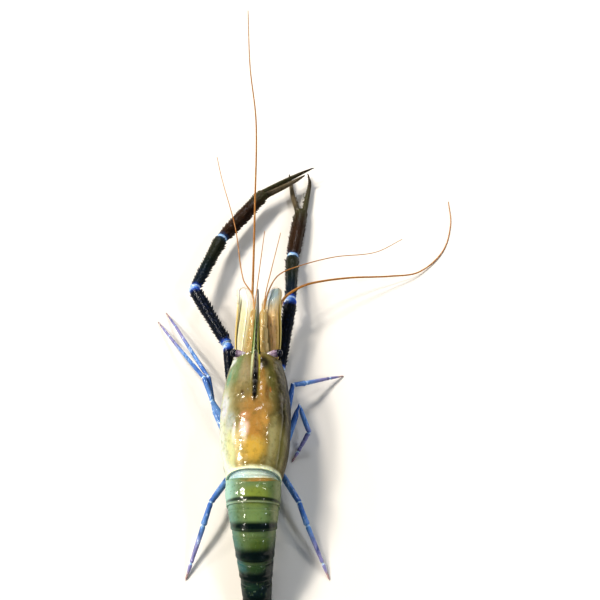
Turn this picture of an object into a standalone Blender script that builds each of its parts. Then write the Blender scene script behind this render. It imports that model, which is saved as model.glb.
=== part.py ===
"""A giant river prawn, life size, lying belly down with its great claws stretched ahead of it.

The head points along +Y, the back up along +Z and the animal's right side along +X. The origin is
the middle of the flat of the breast plate that the animal rests on. Sizes are in metres. Each named
part of the body is one closed body, and neighbours meet face to face with a thin gap.
"""

import math

import bmesh
import bpy
from mathutils import Vector
from mathutils.bvhtree import BVHTree

MM = 0.001
GAP = 0.3 * MM  # between bodies that touch
UP = Vector((0.0, 0.0, 1.0))

# Driving sizes of a large adult male
CARAPACE_LENGTH = 81 * MM  # from the eye socket to the middle of the hind edge
CARAPACE_FRONT = 41 * MM  # where the head's front face stands
CARAPACE_REAR = CARAPACE_FRONT - CARAPACE_LENGTH + 2 * MM
ROSTRUM_LENGTH = 47 * MM
WAIST_LENGTH = 7 * MM  # bare membrane between the carapace and the tail
BACK_HEIGHT = 44 * MM  # top of the first tail ring above the floor
SOMITE_LENGTHS = (11 * MM, 14 * MM, 15 * MM, 10.5 * MM, 11.5 * MM, 16.5 * MM)
SOMITE_TILTS = (2, 20, 34, 42, 40, 22)  # degrees that each tail ring points down
# half width and depth of the tail at each of its joints
TAIL_HALF_WIDTHS = (15.5 * MM, 14.1 * MM, 12.1 * MM, 10.0 * MM, 8.5 * MM, 7.2 * MM, 5.9 * MM)
TAIL_DEPTHS = (25 * MM, 26.5 * MM, 25 * MM, 21 * MM, 16.5 * MM, 11.6 * MM, 8.8 * MM)
SWIMMERET_SIZES = (1.0, 1.0, 0.9, 0.7, 0.5)
SWIMMERET_DIPS = (42, 50, 62, 73, 68)  # degrees below level
TELSON_LENGTH = 31 * MM
TELSON_TILT = 5
SCALE_LENGTH = 55 * MM  # blade beside each feeler
EYE_RADIUS = 2.5 * MM
FEELER_ROOT_RADIUS = 1.45 * MM
FEELER_TIP_RADIUS = 0.3 * MM
CLAW_SPINE_HEIGHT = 1.4 * MM
SPINE_CLEARANCE = 0.5 * MM  # spines that would end lower than this above the floor are left out
SPIRAL_TURN = math.radians(137.5)  # from one spine to the next round a limb

# How finely round things are cut
CLAW_SIDES = 8
LEG_SIDES = 6
FEELER_SIDES = 6

CARAPACE_ROWS = (
    # along the carapace from rear to front, in millimetres:
    # place on Y, half width, height of the crown, height of the lower edge, height of the carina,
    # depth of the hollow between the skirts
    (-38, 15.0, 43.2, 15.0, 0.0, 0.6),
    (-33, 16.6, 44.0, 11.0, 0.0, 3.5),
    (-22, 19.5, 44.8, 8.6, 0.0, 6.5),
    (-8, 20.9, 45.0, 8.0, 0.0, 7.0),
    (6, 21.3, 44.2, 8.0, 0.6, 7.0),
    (18, 20.6, 43.0, 8.8, 2.0, 6.5),
    (28, 19.2, 42.0, 10.2, 2.8, 4.6),
    (36, 17.4, 40.9, 11.8, 3.5, 2.2),
    (41, 15.9, 39.9, 13.4, 3.8, 0.6),
)
CARAPACE_SLICES = 13
CARAPACE_LAG = 1 * MM  # how far the sides reach back past the middle of the hind edge
FIRST_RING_SWEEP = 4.2 * MM  # how far ahead the front edge of the first tail ring lies at its sides


# ------------------------------------------------------------ small helpers


def clear_scene():
    """Take every object out of the scene."""
    for thing in list(bpy.data.objects):
        bpy.data.objects.remove(thing, do_unlink=True)


def point(x, y, z):
    """A place given in millimetres."""
    return Vector((x, y, z)) * MM


def smooth(share):
    """Ease from 0 to 1."""
    share = min(1.0, max(0.0, share))
    return share * share * (3 - 2 * share)


def row_at(rows, key):
    """Values of a table of rows at a key, on a smooth curve through the rows, in the table's unit."""
    if key <= rows[0][0]:
        return rows[0][1:]
    if key >= rows[-1][0]:
        return rows[-1][1:]
    after = next(i for i, row in enumerate(rows) if row[0] >= key)
    low, high = rows[after - 1], rows[after]
    before_low = rows[max(after - 2, 0)]
    past_high = rows[min(after + 1, len(rows) - 1)]
    span = high[0] - low[0]
    share = (key - low[0]) / span
    values = []
    for column in range(1, len(low)):
        slope_low = (high[column] - before_low[column]) / (high[0] - before_low[0]) * span
        slope_high = (past_high[column] - low[column]) / (past_high[0] - low[0]) * span
        cube, square = share**3, share**2
        value = (2 * cube - 3 * square + 1) * low[column]
        value += (cube - 2 * square + share) * slope_low
        value += (3 * square - 2 * cube) * high[column]
        value += (cube - square) * slope_high
        values.append(value)
    return tuple(values)


def curve_through(knots, count):
    """Evenly many points of a smooth curve through a few knots."""
    rows = []
    travelled = 0.0
    for index, knot in enumerate(knots):
        if index:
            travelled += (knot - knots[index - 1]).length
        rows.append((travelled, knot.x, knot.y, knot.z))
    return [Vector(row_at(rows, travelled * step / (count - 1))) for step in range(count)]


def principled(name, colour, roughness, metallic=0.0):
    """A plain material for one part."""
    material = bpy.data.materials.new(name)
    material.use_nodes = True
    shader = material.node_tree.nodes["Principled BSDF"]
    shader.inputs["Base Color"].default_value = (*colour, 1.0)
    shader.inputs["Roughness"].default_value = roughness
    shader.inputs["Metallic"].default_value = metallic
    return material


def add_object(name, bm):
    """Turn a bmesh into an object of triangles that point out."""
    bmesh.ops.triangulate(bm, faces=bm.faces, quad_method="FIXED", ngon_method="EAR_CLIP")
    bmesh.ops.recalc_face_normals(bm, faces=bm.faces)
    if bm.calc_volume(signed=True) < 0:
        bmesh.ops.reverse_faces(bm, faces=bm.faces)
    mesh = bpy.data.meshes.new(name)
    bm.to_mesh(mesh)
    bm.free()
    thing = bpy.data.objects.new(name, mesh)
    bpy.context.scene.collection.objects.link(thing)
    return thing


def rest_on_floor(bm):
    """Flatten whatever dips under the floor into a small rest flat."""
    for vertex in bm.verts:
        vertex.co.z = max(vertex.co.z, 0.0)


def fan(bm, ring, tip):
    """Close a ring with triangles that meet at a tip."""
    top = bm.verts.new(tip)
    for index, vertex in enumerate(ring):
        bm.faces.new((vertex, ring[(index + 1) % len(ring)], top))


def close_arch(bm, ring):
    """Close the end of an arched section, whose two belly corners lie in the middle of the ring.

    Above the belly it is closed in level strips, below it round each skirt from the belly corner.
    """
    right = len(ring) // 2
    left = right + 1
    level = max(index for index in range(right) if ring[index].co.z > ring[right].co.z)
    bm.faces.new((ring[0], ring[1], ring[-1]))
    for index in range(1, level):
        bm.faces.new((ring[index], ring[index + 1], ring[-index - 1], ring[-index]))
    bm.faces.new((ring[level], ring[right], ring[left], ring[-level]))
    for index in range(level, right - 1):
        bm.faces.new((ring[index], ring[index + 1], ring[right]))
        bm.faces.new((ring[-index], ring[-index - 1], ring[left]))


def skin(name, rings, arched=False, end_tip=None):
    """One closed body over a run of rings; an end without a tip is a flat face."""
    bm = bmesh.new()
    rows = [[bm.verts.new(place) for place in ring] for ring in rings]
    count = len(rows[0])
    for low, high in zip(rows, rows[1:]):
        for index in range(count):
            after = (index + 1) % count
            bm.faces.new((low[index], low[after], high[after], high[index]))
    for ring, tip in ((rows[0], None), (rows[-1], end_tip)):
        if arched:
            close_arch(bm, ring)
        elif tip is None:
            bm.faces.new(ring)
        else:
            fan(bm, ring, tip)
    rest_on_floor(bm)
    return add_object(name, bm)


def ring_round(centre, normal, half_width, half_depth, sides):
    """A ring round a limb, wide across it and deep up and down, with a flat side below."""
    across = normal.cross(UP)
    if across.length < 0.05:
        across = Vector((1.0, 0.0, 0.0))
    across.normalize()
    upward = across.cross(normal).normalized()
    places = []
    for index in range(sides):
        turn = 2 * math.pi * (index + 0.5) / sides - math.pi / 2
        sideways = across * (half_width * math.cos(turn))
        places.append(centre + sideways + upward * (half_depth * math.sin(turn)))
    return places


def tube(name, places, sizes, sides, first=None, last=None, end_tip=None):
    """A round body along a path; sizes holds (half width, half depth) for each place."""
    rings = []
    for index, place in enumerate(places):
        before = places[max(index - 1, 0)]
        after = places[min(index + 1, len(places) - 1)]
        normal = (after - before).normalized()
        if index == 0 and first is not None:
            normal = first
        if index == len(places) - 1 and last is not None:
            normal = last
        rings.append(ring_round(place, normal, *sizes[index], sides))
    return skin(name, rings, end_tip=end_tip)


def blade(name, spine, widths, thicknesses, side, lift, ribs=(), columns=5, camber=0.0):
    """A thin leaf along a spine. Its upper and lower faces share one net, so they never cross.

    spine is a list of places, widths the half widths and thicknesses the thicknesses there. side
    points across the leaf and lift out of its upper face. ribs are (share across, height) ridges, and
    camber is how far the middle rises.
    """
    bm = bmesh.new()
    upper, lower = [], []
    for place, width, thickness in zip(spine, widths, thicknesses):
        high_row, low_row = [], []
        for column in range(columns):
            share = 2 * column / (columns - 1) - 1
            rise = camber * width * (1 - share * share)
            ridge = sum(height for rib, height in ribs if abs(rib - share) < 1 / columns)
            edge = 0.5 if abs(share) == 1 else 1.0
            middle = place + side * (share * width) + lift * rise
            half = max(thickness * edge, 0.5 * MM) / 2
            high_row.append(bm.verts.new(middle + lift * (half + ridge * min(1.0, width / (3 * MM)))))
            low_row.append(bm.verts.new(middle - lift * half))
        upper.append(high_row)
        lower.append(low_row)
    for net in (upper, lower):
        for low, high in zip(net, net[1:]):
            for index in range(columns - 1):
                bm.faces.new((low[index], low[index + 1], high[index + 1]))
                bm.faces.new((low[index], high[index + 1], high[index]))
    for column in (0, columns - 1):
        for index in range(len(spine) - 1):
            corners = (upper[index][column], upper[index + 1][column])
            corners += (lower[index + 1][column], lower[index][column])
            bm.faces.new(corners)
    for row in (0, len(spine) - 1):
        for index in range(columns - 1):
            corners = (upper[row][index], upper[row][index + 1])
            corners += (lower[row][index + 1], lower[row][index])
            bm.faces.new(corners)
    rest_on_floor(bm)
    return add_object(name, bm)


def keep_largest(thing):
    """Keep only the largest closed surface of a body."""
    bm = bmesh.new()
    bm.from_mesh(thing.data)
    waiting = set(bm.faces)
    largest = []
    while waiting:
        seed = waiting.pop()
        island, edge_faces = [seed], [seed]
        while edge_faces:
            face = edge_faces.pop()
            for edge in face.edges:
                for neighbour in edge.link_faces:
                    if neighbour in waiting:
                        waiting.discard(neighbour)
                        island.append(neighbour)
                        edge_faces.append(neighbour)
        if len(island) > len(largest):
            largest = island
    kept = set(largest)
    bmesh.ops.delete(bm, geom=[face for face in bm.faces if face not in kept], context="FACES")
    bm.to_mesh(thing.data)
    bm.free()


def fuse(body, pieces, solver="EXACT"):
    """Join small pieces to the body that they grow from, as one closed body."""
    if not pieces:
        return body
    group = bpy.data.collections.new(body.name + "_pieces")
    bpy.context.scene.collection.children.link(group)
    for piece in pieces:
        bpy.context.scene.collection.objects.unlink(piece)
        group.objects.link(piece)
    union = body.modifiers.new("Union", "BOOLEAN")
    union.operation = "UNION"
    union.operand_type = "COLLECTION"
    union.collection = group
    union.solver = solver
    seen = bpy.context.evaluated_depsgraph_get()
    joined = bpy.data.meshes.new_from_object(body.evaluated_get(seen))
    body.modifiers.clear()
    body.data = joined
    for piece in pieces:
        bpy.data.objects.remove(piece, do_unlink=True)
    bpy.data.collections.remove(group)
    keep_largest(body)
    return body


def thorn(root, direction, height, radius):
    """A small three-sided spine whose foot is sunk in what it grows from."""
    direction = direction.normalized()
    across = direction.orthogonal().normalized()
    beside = direction.cross(across)
    foot = root - direction * (0.45 * height)
    ring = []
    for index in range(3):
        turn = 2 * math.pi * index / 3
        ring.append(foot + (across * math.cos(turn) + beside * math.sin(turn)) * radius)
    bm = bmesh.new()
    corners = [bm.verts.new(place) for place in ring]
    bm.faces.new(corners)
    fan(bm, corners, root + direction * height)
    return add_object("thorn", bm)


def surface_of(body):
    """A search tree over a body's surface."""
    bm = bmesh.new()
    bm.from_mesh(body.data)
    tree = BVHTree.FromBMesh(bm)
    bm.free()
    return tree


def thorn_on(tree, near, lean, height, radius):
    """A spine on the surface nearest to a given place, leaning as told from the surface's normal."""
    place, normal, _, _ = tree.find_nearest(near)
    return thorn(place, normal + lean, height, radius)


def thorns_round(body, low, high, count, height):
    """Spines that lean forward, spread in a spiral round the stretch of a limb between two places."""
    tree = surface_of(body)
    way = (high - low).normalized()
    beside = way.cross(UP).normalized()
    upward = beside.cross(way).normalized()
    pieces = []
    for index in range(count):
        turn = SPIRAL_TURN * index
        outward = beside * math.cos(turn) + upward * math.sin(turn)
        start = low.lerp(high, (index + 0.5) / count)
        place, normal, _, _ = tree.ray_cast(start, outward)
        if place is None:
            continue
        lean = (normal + way * 0.9).normalized()
        if (place + lean * height).z > SPINE_CLEARANCE:
            pieces.append(thorn(place, lean, height, 0.36 * height))
    fuse(body, pieces)


# ------------------------------------------------------------ body sections


def arch_outline(half_width, waist, depth, edge, wall, belly, above=6, below=4):
    """Half of a body section from the crown down one side, round the lower edge and up to the belly.

    waist is the depth of the widest place, depth the depth of the lower edge, edge the half width
    there, wall the thickness of the skirt and belly the depth of the underside between the skirts.
    """
    outline = []
    for step in range(above):
        turn = math.pi / 2 * step / above
        outline.append((half_width * math.sin(turn) ** 0.92, waist * (math.cos(turn) ** 0.92 - 1)))
    for step in range(below + 1):
        turn = math.pi / 2 * step / below
        across = edge + (half_width - edge) * math.cos(turn) ** 1.3
        outline.append((across, -waist - (depth - waist) * math.sin(turn)))
    outline.append((edge - wall, -depth + 0.2 * wall))
    outline.append((edge - 2 * wall, -belly))
    return outline


def both_sides(outline):
    """A closed ring from half a section: down the right side and back up the left."""
    left = [(-across, high) for across, high in reversed(outline[1:])]
    return outline + left


# ------------------------------------------------------------ head and carapace


def carapace_outline(y, inset=0.0):
    """The section of the carapace at a place on Y, as (across, height) pairs, drawn in by an inset."""
    half_width, crown, lower, carina, hollow = (value * MM for value in row_at(CARAPACE_ROWS, y / MM))
    depth = crown - lower - inset
    edge = 0.66 * half_width
    belly = depth - hollow
    outline = arch_outline(half_width - inset, 0.52 * depth, depth, edge - inset, 1.4 * MM, belly)
    outline = [(across, crown - inset + high) for across, high in outline]
    outline[0] = (0.0, crown - inset + carina)
    return both_sides(outline)


def lag_at(height):
    """How far back the hind edge lies at a height on the section."""
    return CARAPACE_LAG * smooth((BACK_HEIGHT - height) / (18 * MM))


def build_carapace(material):
    """The shield over the head and breast, with its carina and its spines."""
    rings = []
    for step in range(CARAPACE_SLICES):
        share = step / (CARAPACE_SLICES - 1)
        y = CARAPACE_REAR + (CARAPACE_FRONT - CARAPACE_REAR) * share
        fade = smooth(1 - share * 5)
        ring = [Vector((x, y - fade * lag_at(z), z)) for x, z in carapace_outline(y)]
        rings.append(ring)
    carapace = skin("carapace", rings, arched=True)
    tree = surface_of(carapace)
    pieces = []
    for y in (9, 17, 25, 33):
        crown = row_at(CARAPACE_ROWS, y)
        place = point(0, y, crown[1] + crown[3])
        pieces.append(thorn(place, Vector((0, 0.9, 0.6)), 2.0 * MM, 0.9 * MM))
    forward = Vector((0, 3.5, 0.2))
    for side in (-1, 1):
        pieces.append(thorn_on(tree, point(side * 15.2, 39.0, 28.6), forward, 4.4 * MM, 1.3 * MM))
        pieces.append(thorn_on(tree, point(side * 18.2, 29.0, 25.5), forward, 3.2 * MM, 1.2 * MM))
    fuse(carapace, pieces)
    carapace.data.materials.append(material)


def sweep_at(height):
    """How far ahead the front edge of the first tail ring lies at a height, past its middle."""
    return FIRST_RING_SWEEP * (1 - ((height - 30 * MM) / (14 * MM)) ** 2)


def build_waist(material):
    """The bare membrane between the carapace and the tail."""
    front = [(x, z) for x, z in carapace_outline(CARAPACE_REAR, inset=1.3 * MM)]
    rings = []
    for step in range(3):
        share = step / 2
        ring = []
        for x, z in front:
            start = CARAPACE_REAR - GAP - lag_at(z)
            stop = CARAPACE_REAR - WAIST_LENGTH + GAP / 2
            stop += sweep_at(z)
            ring.append(Vector((x, start + (stop - start) * share, z)))
        rings.append(ring)
    waist = skin("waist_membrane", rings, arched=True)
    waist.data.materials.append(material)


def build_thorax(material):
    """The breast plates between the legs, flat where the animal rests."""
    rows = (
        # place on Y, half width, height of the underside
        (-35, 6.4, 7.0),
        (-28, 8.4, 1.4),
        (-25, 9.0, 0.0),
        (12, 9.0, 0.0),
        (22, 7.2, 0.0),
        (30, 5.6, 1.6),
    )
    rings = []
    for y, half_width, under in rows:
        _, _, lower, _, hollow = row_at(CARAPACE_ROWS, y)
        roof = lower + max(hollow - 2 * GAP / MM, 0)
        ring = [(half_width - 1.6, under), (half_width, under + 1.0), (half_width, lower - 0.4)]
        ring.append((half_width - 1.4, roof - 1.2))
        ring.append((half_width - 3.4, roof))
        ring += [(-across, high) for across, high in reversed(ring)]
        rings.append([point(across, y, high) for across, high in ring])
    thorax = skin("thorax", rings)
    thorax.data.materials.append(material)


def build_rostrum(material):
    """The toothed blade over the eyes."""
    rows = (
        # share of the length, height of the upper edge, height of the lower edge, half width
        (0.0, 43.8, 36.4, 2.9),
        (0.2, 44.2, 36.2, 2.3),
        (0.45, 44.2, 37.2, 1.8),
        (0.7, 44.8, 40.0, 1.2),
        (0.9, 46.4, 43.6, 0.75),
        (0.98, 47.3, 45.8, 0.5),
    )
    root = CARAPACE_FRONT + GAP
    rings = []
    for share, top, bottom, half_width in rows:
        y = (root + ROSTRUM_LENGTH * share) / MM
        ridge = bottom + 0.55 * (top - bottom)
        ring = [(0, top), (0.45 * half_width, ridge + 0.9), (half_width, ridge)]
        ring += [(0.4 * half_width, ridge - 1.0), (0, bottom)]
        ring += [(-across, high) for across, high in reversed(ring[1:4])]
        rings.append([point(across, y, high) for across, high in ring])
    rostrum = skin("rostrum", rings, end_tip=point(0, (root + ROSTRUM_LENGTH) / MM, 47.8))
    pieces = []
    teeth_above, teeth_below = 9, 8
    for index in range(teeth_above):
        share = 0.05 + 0.85 * index / (teeth_above - 1)
        top = row_at(rows, share)[0]
        place = point(0, (root + ROSTRUM_LENGTH * share) / MM, top)
        pieces.append(thorn(place, Vector((0, 1.0, 0.55)), 2.1 * MM, 0.8 * MM))
    for index in range(teeth_below):
        share = 0.25 + 0.65 * index / (teeth_below - 1)
        bottom = row_at(rows, share)[1]
        place = point(0, (root + ROSTRUM_LENGTH * share) / MM, bottom)
        pieces.append(thorn(place, Vector((0, 1.0, -0.5)), 1.7 * MM, 0.7 * MM))
    fuse(rostrum, pieces)
    rostrum.data.materials.append(material)


def build_eye(side, tag, stalk_material, cornea_material):
    """A stalk that reaches out from under the rostrum, and the black cornea on its end."""
    front = CARAPACE_FRONT / MM + 0.3
    bend = point(side * 7.6, front + 2.7, 33.4)
    centre = point(side * 14.4, front + 3.9, 33.8)
    way = (centre - bend).normalized()
    neck = (centre - bend).length - EYE_RADIUS * math.sin(math.radians(42)) - GAP
    places = [point(side * 5.0, front, 33.2), point(side * 5.6, front + 1.4, 33.3), bend]
    places += [bend + way * (0.6 * neck), bend + way * neck]
    sizes = [(girth * MM, girth * MM) for girth in (1.5, 1.6, 1.75, 2.2, 2.3)]
    stalk = tube("eyestalk_" + tag, places, sizes, CLAW_SIDES, first=Vector((0, 1, 0)), last=way)
    stalk.data.materials.append(stalk_material)
    rings = []
    for turn in (-42, -15, 12, 40, 66):
        angle = math.radians(turn)
        place = centre + way * (EYE_RADIUS * math.sin(angle))
        size = EYE_RADIUS * math.cos(angle)
        rings.append(ring_round(place, way, size, size, 10))
    cornea = skin("cornea_" + tag, rings, end_tip=centre + way * EYE_RADIUS)
    cornea.data.materials.append(cornea_material)


# ------------------------------------------------------------ tail


def tail_joints():
    """Where each joint between tail rings lies on the middle of the back, and how far it tips back."""
    place = Vector((0.0, CARAPACE_REAR - WAIST_LENGTH, BACK_HEIGHT))
    tilts = (0, *SOMITE_TILTS, TELSON_TILT)
    joints = [(place, 0.0)]
    for index, length in enumerate(SOMITE_LENGTHS):
        tilt = math.radians(SOMITE_TILTS[index])
        place = place + Vector((0.0, -math.cos(tilt), -math.sin(tilt))) * length
        joints.append((place, (tilts[index + 1] + tilts[index + 2]) / 2))
    return joints


def tilted(place, tilt, across, high):
    """A place on a section whose plane tips back by tilt degrees."""
    turn = math.radians(tilt)
    upward = Vector((0.0, -math.sin(turn), math.cos(turn)))
    return place + Vector((across, 0.0, 0.0)) + upward * high


def build_somite(index, joints, material):
    """One ring of the tail: an arched plate with a skirt on each side and swimmerets under it."""
    (front, front_tilt), (rear, rear_tilt) = joints[index], joints[index + 1]
    last = index == len(SOMITE_LENGTHS) - 1
    rings = []
    for share, swell, sweep in (
        (0.0, -0.3, 1.0), (0.18, 0.0, 0.65), (0.5, 0.15, 0.0), (0.85, 0.2, 0.0), (1.0, 0.1, 0.0),
    ):
        tilt = front_tilt + (rear_tilt - front_tilt) * share
        half_width = TAIL_HALF_WIDTHS[index] * (1 - share) + TAIL_HALF_WIDTHS[index + 1] * share
        half_width += swell * MM
        depth = TAIL_DEPTHS[index] * (1 - share) + TAIL_DEPTHS[index + 1] * share
        lobe = 0.0 if last else 2.4 * MM * (1 - (2 * share - 1) ** 2)
        belly = 0.9 * depth if last else 0.66 * depth
        edge = 0.6 * half_width if last else 0.88 * half_width
        way = Vector((0.0, -math.cos(math.radians(tilt)), -math.sin(math.radians(tilt))))
        place = front.lerp(rear, share) + way * ((0.5 - share) * GAP)
        outline = arch_outline(half_width, 0.5 * depth, depth + lobe, edge, 1.3 * MM, belly, below=3)
        outline = [(across, high + swell * 0.6 * MM) for across, high in outline]
        ring = [tilted(place, tilt, across, high) for across, high in both_sides(outline)]
        if index == 0:
            ring = [spot + Vector((0.0, sweep * sweep_at(spot.z), 0.0)) for spot in ring]
        rings.append(ring)
    somite = skin("pleomere_" + str(index + 1), rings, arched=True)
    if not last:
        fuse(somite, swimmerets(index, rings[2]))
    somite.data.materials.append(material)


def swimmerets(index, section):
    """The pair of paddles under one tail ring, each a short stalk with two leaves."""
    size = SWIMMERET_SIZES[index]
    dip = math.radians(SWIMMERET_DIPS[index])
    roof = section[len(section) // 2]
    pieces = []
    for side in (-1, 1):
        root = Vector((side * 0.37 * TAIL_HALF_WIDTHS[index + 1], roof.y, roof.z))
        foot = root - UP * (6.5 * MM * size)
        sizes = [(1.9 * MM * size, 1.5 * MM * size)] * 2
        stalk = tube("stalk", [root + UP * (1.2 * MM), foot], sizes, 6, first=-UP, last=-UP)
        pieces.append(stalk)
        for splay, length, rise, slack in ((-5, 12.0, 0.7, 0), (6, 10.5, 1.3, 9)):
            turn = math.radians(splay) * side
            down = dip - math.radians(slack)
            way = Vector((math.sin(turn), -math.cos(down), -math.sin(down))).normalized()
            start = foot + Vector((side * splay * 0.05, 0, rise * size)) * MM
            spine = [start + way * (length * MM * size * share) for share in (0.0, 0.3, 0.65, 1.0)]
            widths = [width * MM * size for width in (0.9, 1.9, 2.0, 0.7)]
            across = way.cross(UP).normalized()
            lift = across.cross(way).normalized()
            pieces.append(blade("leaf", spine, widths, [0.9 * MM] * 4, across, lift, columns=3))
    return pieces


def build_tail_fan(joints, telson_material, fan_material):
    """The telson and the four blades beside it, which lie on the floor."""
    end, end_tilt = joints[-1]
    turn = math.radians(end_tilt)
    plane = Vector((0.0, -math.cos(turn), -math.sin(turn)))
    dip = math.radians(TELSON_TILT)
    way = Vector((0.0, -math.cos(dip), -math.sin(dip)))
    root = tilted(end, end_tilt, 0.0, -2.5 * MM) + plane * (GAP / 2)
    places = [root + way * (TELSON_LENGTH * share) for share in (0.0, 0.25, 0.6, 0.9)]
    sizes = [(4.7 * MM, 2.2 * MM), (4.2 * MM, 1.9 * MM), (3.0 * MM, 1.4 * MM), (1.7 * MM, 0.9 * MM)]
    telson = tube("telson", places, sizes, CLAW_SIDES, first=plane, end_tip=root + way * TELSON_LENGTH)
    telson.data.materials.append(telson_material)
    for side, tag in ((-1, "left"), (1, "right")):
        for name, across, under, yaw, length, widths, floor in (
            ("exopod", 4.3, 7.0, 25, 33, (1.2, 3.4, 6.2, 7.0, 5.6, 2.4), 0.5),
            ("endopod", 2.6, 5.5, 13, 31, (1.2, 2.6, 4.4, 4.9, 4.0, 1.6), 2.35),
        ):
            swing = math.radians(yaw) * side
            course = Vector((math.sin(swing), -math.cos(swing), 0.0))
            start = tilted(end, end_tilt, side * across * MM, -under * MM) + plane * (GAP / 2 + 0.5 * MM)
            spine = []
            for share in (0.0, 0.16, 0.36, 0.6, 0.84, 1.0):
                height = floor * MM + (start.z - floor * MM) * (1 - smooth(share * 2.2))
                place = start + course * (length * MM * share)
                spine.append(Vector((place.x, place.y, height)))
            thickness = [1.2 * MM] + [1.0 * MM] * 5
            beside = Vector((course.y, -course.x, 0.0)) * -1
            ribs = ((0.0, 0.3 * MM),)
            half_widths = [width * MM for width in widths]
            leaf = blade(f"uropod_{name}_{tag}", spine, half_widths, thickness, beside, UP, ribs)
            leaf.data.materials.append(fan_material)


# ------------------------------------------------------------ limbs


def limb_rings(joints, girths, sides, first, last):
    """Rings for a run of limb segments that narrow at their joints."""
    rings = []
    for index, rows in enumerate(girths):
        low, high = joints[index], joints[index + 1]
        way = (high - low).normalized()
        for share, half_width, half_depth in rows:
            if share == 0.0 and index:
                continue
            normal = way
            if share == 0.0:
                normal = first
            elif share == 1.0:
                normal = last
                if index < len(girths) - 1:
                    normal = (way + (joints[index + 2] - high).normalized()).normalized()
            place = low.lerp(high, share)
            rings.append(ring_round(place, normal, half_width * MM, half_depth * MM, sides))
    return rings


def limb(names, joints, girths, groups, sides, first, material, tip=True):
    """A jointed limb as a few bodies that meet on the slanting plane of each joint between them."""
    start = 0
    for number, (name, count) in enumerate(zip(names, groups)):
        stop = start + count
        run = [place.copy() for place in joints[start : stop + 1]]
        low_normal = first
        if start:
            low_normal = (joints[start] - joints[start - 1]).normalized()
            low_normal = (low_normal + (joints[start + 1] - joints[start]).normalized()).normalized()
            run[0] = run[0] + low_normal * (GAP / 2)
        way = (joints[stop] - joints[stop - 1]).normalized()
        high_normal = way
        pointed = tip and stop == len(joints) - 1
        if stop < len(joints) - 1:
            high_normal = (way + (joints[stop + 1] - joints[stop]).normalized()).normalized()
            run[-1] = run[-1] - high_normal * (GAP / 2)
        rings = limb_rings(run, girths[start:stop], sides, low_normal, high_normal)
        end_tip = run[-1] + way * (0.8 * MM) if pointed else None
        body = skin(name, rings, end_tip=end_tip)
        body.data.materials.append(material)
        start = stop


def build_walking_leg(number, side, tag, joints, material):
    """A thin walking leg that ends in a single claw."""
    girths = (
        ((0.0, 1.9, 1.9), (0.5, 1.9, 1.9), (1.0, 1.7, 1.7)),
        ((0.0, 1.7, 1.7), (0.15, 1.85, 1.85), (0.8, 1.75, 1.75), (1.0, 1.4, 1.4)),
        ((0.0, 1.4, 1.4), (0.5, 1.6, 1.6), (0.9, 1.7, 1.7), (1.0, 1.3, 1.3)),
        ((0.0, 1.3, 1.3), (0.2, 1.4, 1.4), (0.9, 1.05, 1.05), (1.0, 0.85, 0.85)),
        ((0.0, 0.85, 0.85), (0.4, 0.9, 0.9), (1.0, 0.35, 0.35)),
    )
    names = [f"leg_{number}_upper_{tag}", f"leg_{number}_lower_{tag}"]
    outward = Vector((side, 0.0, 0.0))
    limb(names, joints, girths, (2, 3), LEG_SIDES, outward, material)


def build_small_claw_leg(side, tag, material):
    """The first leg, slender, folded forward under the head and ending in a small pincer."""
    places = ((7.95, 20, 3.4), (9.0, 27, 3.2), (7.7, 47, 2.8), (10.5, 76, 3.6), (8.6, 86, 3.2))
    joints = [point(side * x, y, z) for x, y, z in places]
    girths = (
        ((0.0, 1.5, 1.5), (0.5, 1.5, 1.5), (1.0, 1.3, 1.3)),
        ((0.0, 1.3, 1.3), (0.2, 1.5, 1.5), (0.85, 1.3, 1.3), (1.0, 1.1, 1.1)),
        ((0.0, 1.1, 1.1), (0.2, 1.0, 1.0), (0.9, 1.4, 1.4), (1.0, 1.1, 1.1)),
        ((0.0, 1.1, 1.1), (0.3, 1.7, 1.6), (0.8, 1.7, 1.6), (1.0, 1.5, 1.4)),
    )
    outward = Vector((side * 0.98, 0.18, 0.0)).normalized()
    names = [f"leg_1_upper_{tag}", f"leg_1_pincer_{tag}"]
    limb(names, joints, girths, (2, 2), LEG_SIDES, outward, material, tip=False)
    pincer = bpy.data.objects[names[1]]
    way = (joints[4] - joints[3]).normalized()
    beside = way.cross(UP).normalized()
    fingers = []
    for lean in (-1, 1):
        foot = joints[4] - way * (1.0 * MM) + beside * (lean * 0.75 * MM)
        places = [foot, foot + way * (5 * MM) + beside * (lean * 0.5 * MM), foot + way * (9 * MM)]
        sizes = [(0.7 * MM, 0.9 * MM), (0.55 * MM, 0.7 * MM), (0.28 * MM, 0.3 * MM)]
        fingers.append(tube("finger", places, sizes, 5))
    fuse(pincer, fingers)


def build_jaw_leg(side, tag, material):
    """The third maxilliped, which lies forward under the mouth."""
    places = ((3.3, 30.3, 5.0), (4.4, 50, 6.4), (4.6, 66, 9.0), (3.4, 77, 11.5))
    joints = [point(side * x, y, z) for x, y, z in places]
    girths = (
        ((0.0, 1.7, 1.9), (0.5, 2.0, 2.3), (0.9, 1.8, 2.0), (1.0, 1.4, 1.6)),
        ((0.0, 1.4, 1.6), (0.5, 1.6, 1.8), (1.0, 1.1, 1.2)),
        ((0.0, 1.1, 1.2), (0.4, 1.2, 1.3), (1.0, 0.4, 0.4)),
    )
    limb(["maxilliped_" + tag], joints, girths, (3,), LEG_SIDES, Vector((0.0, 1.0, 0.0)), material)


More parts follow.
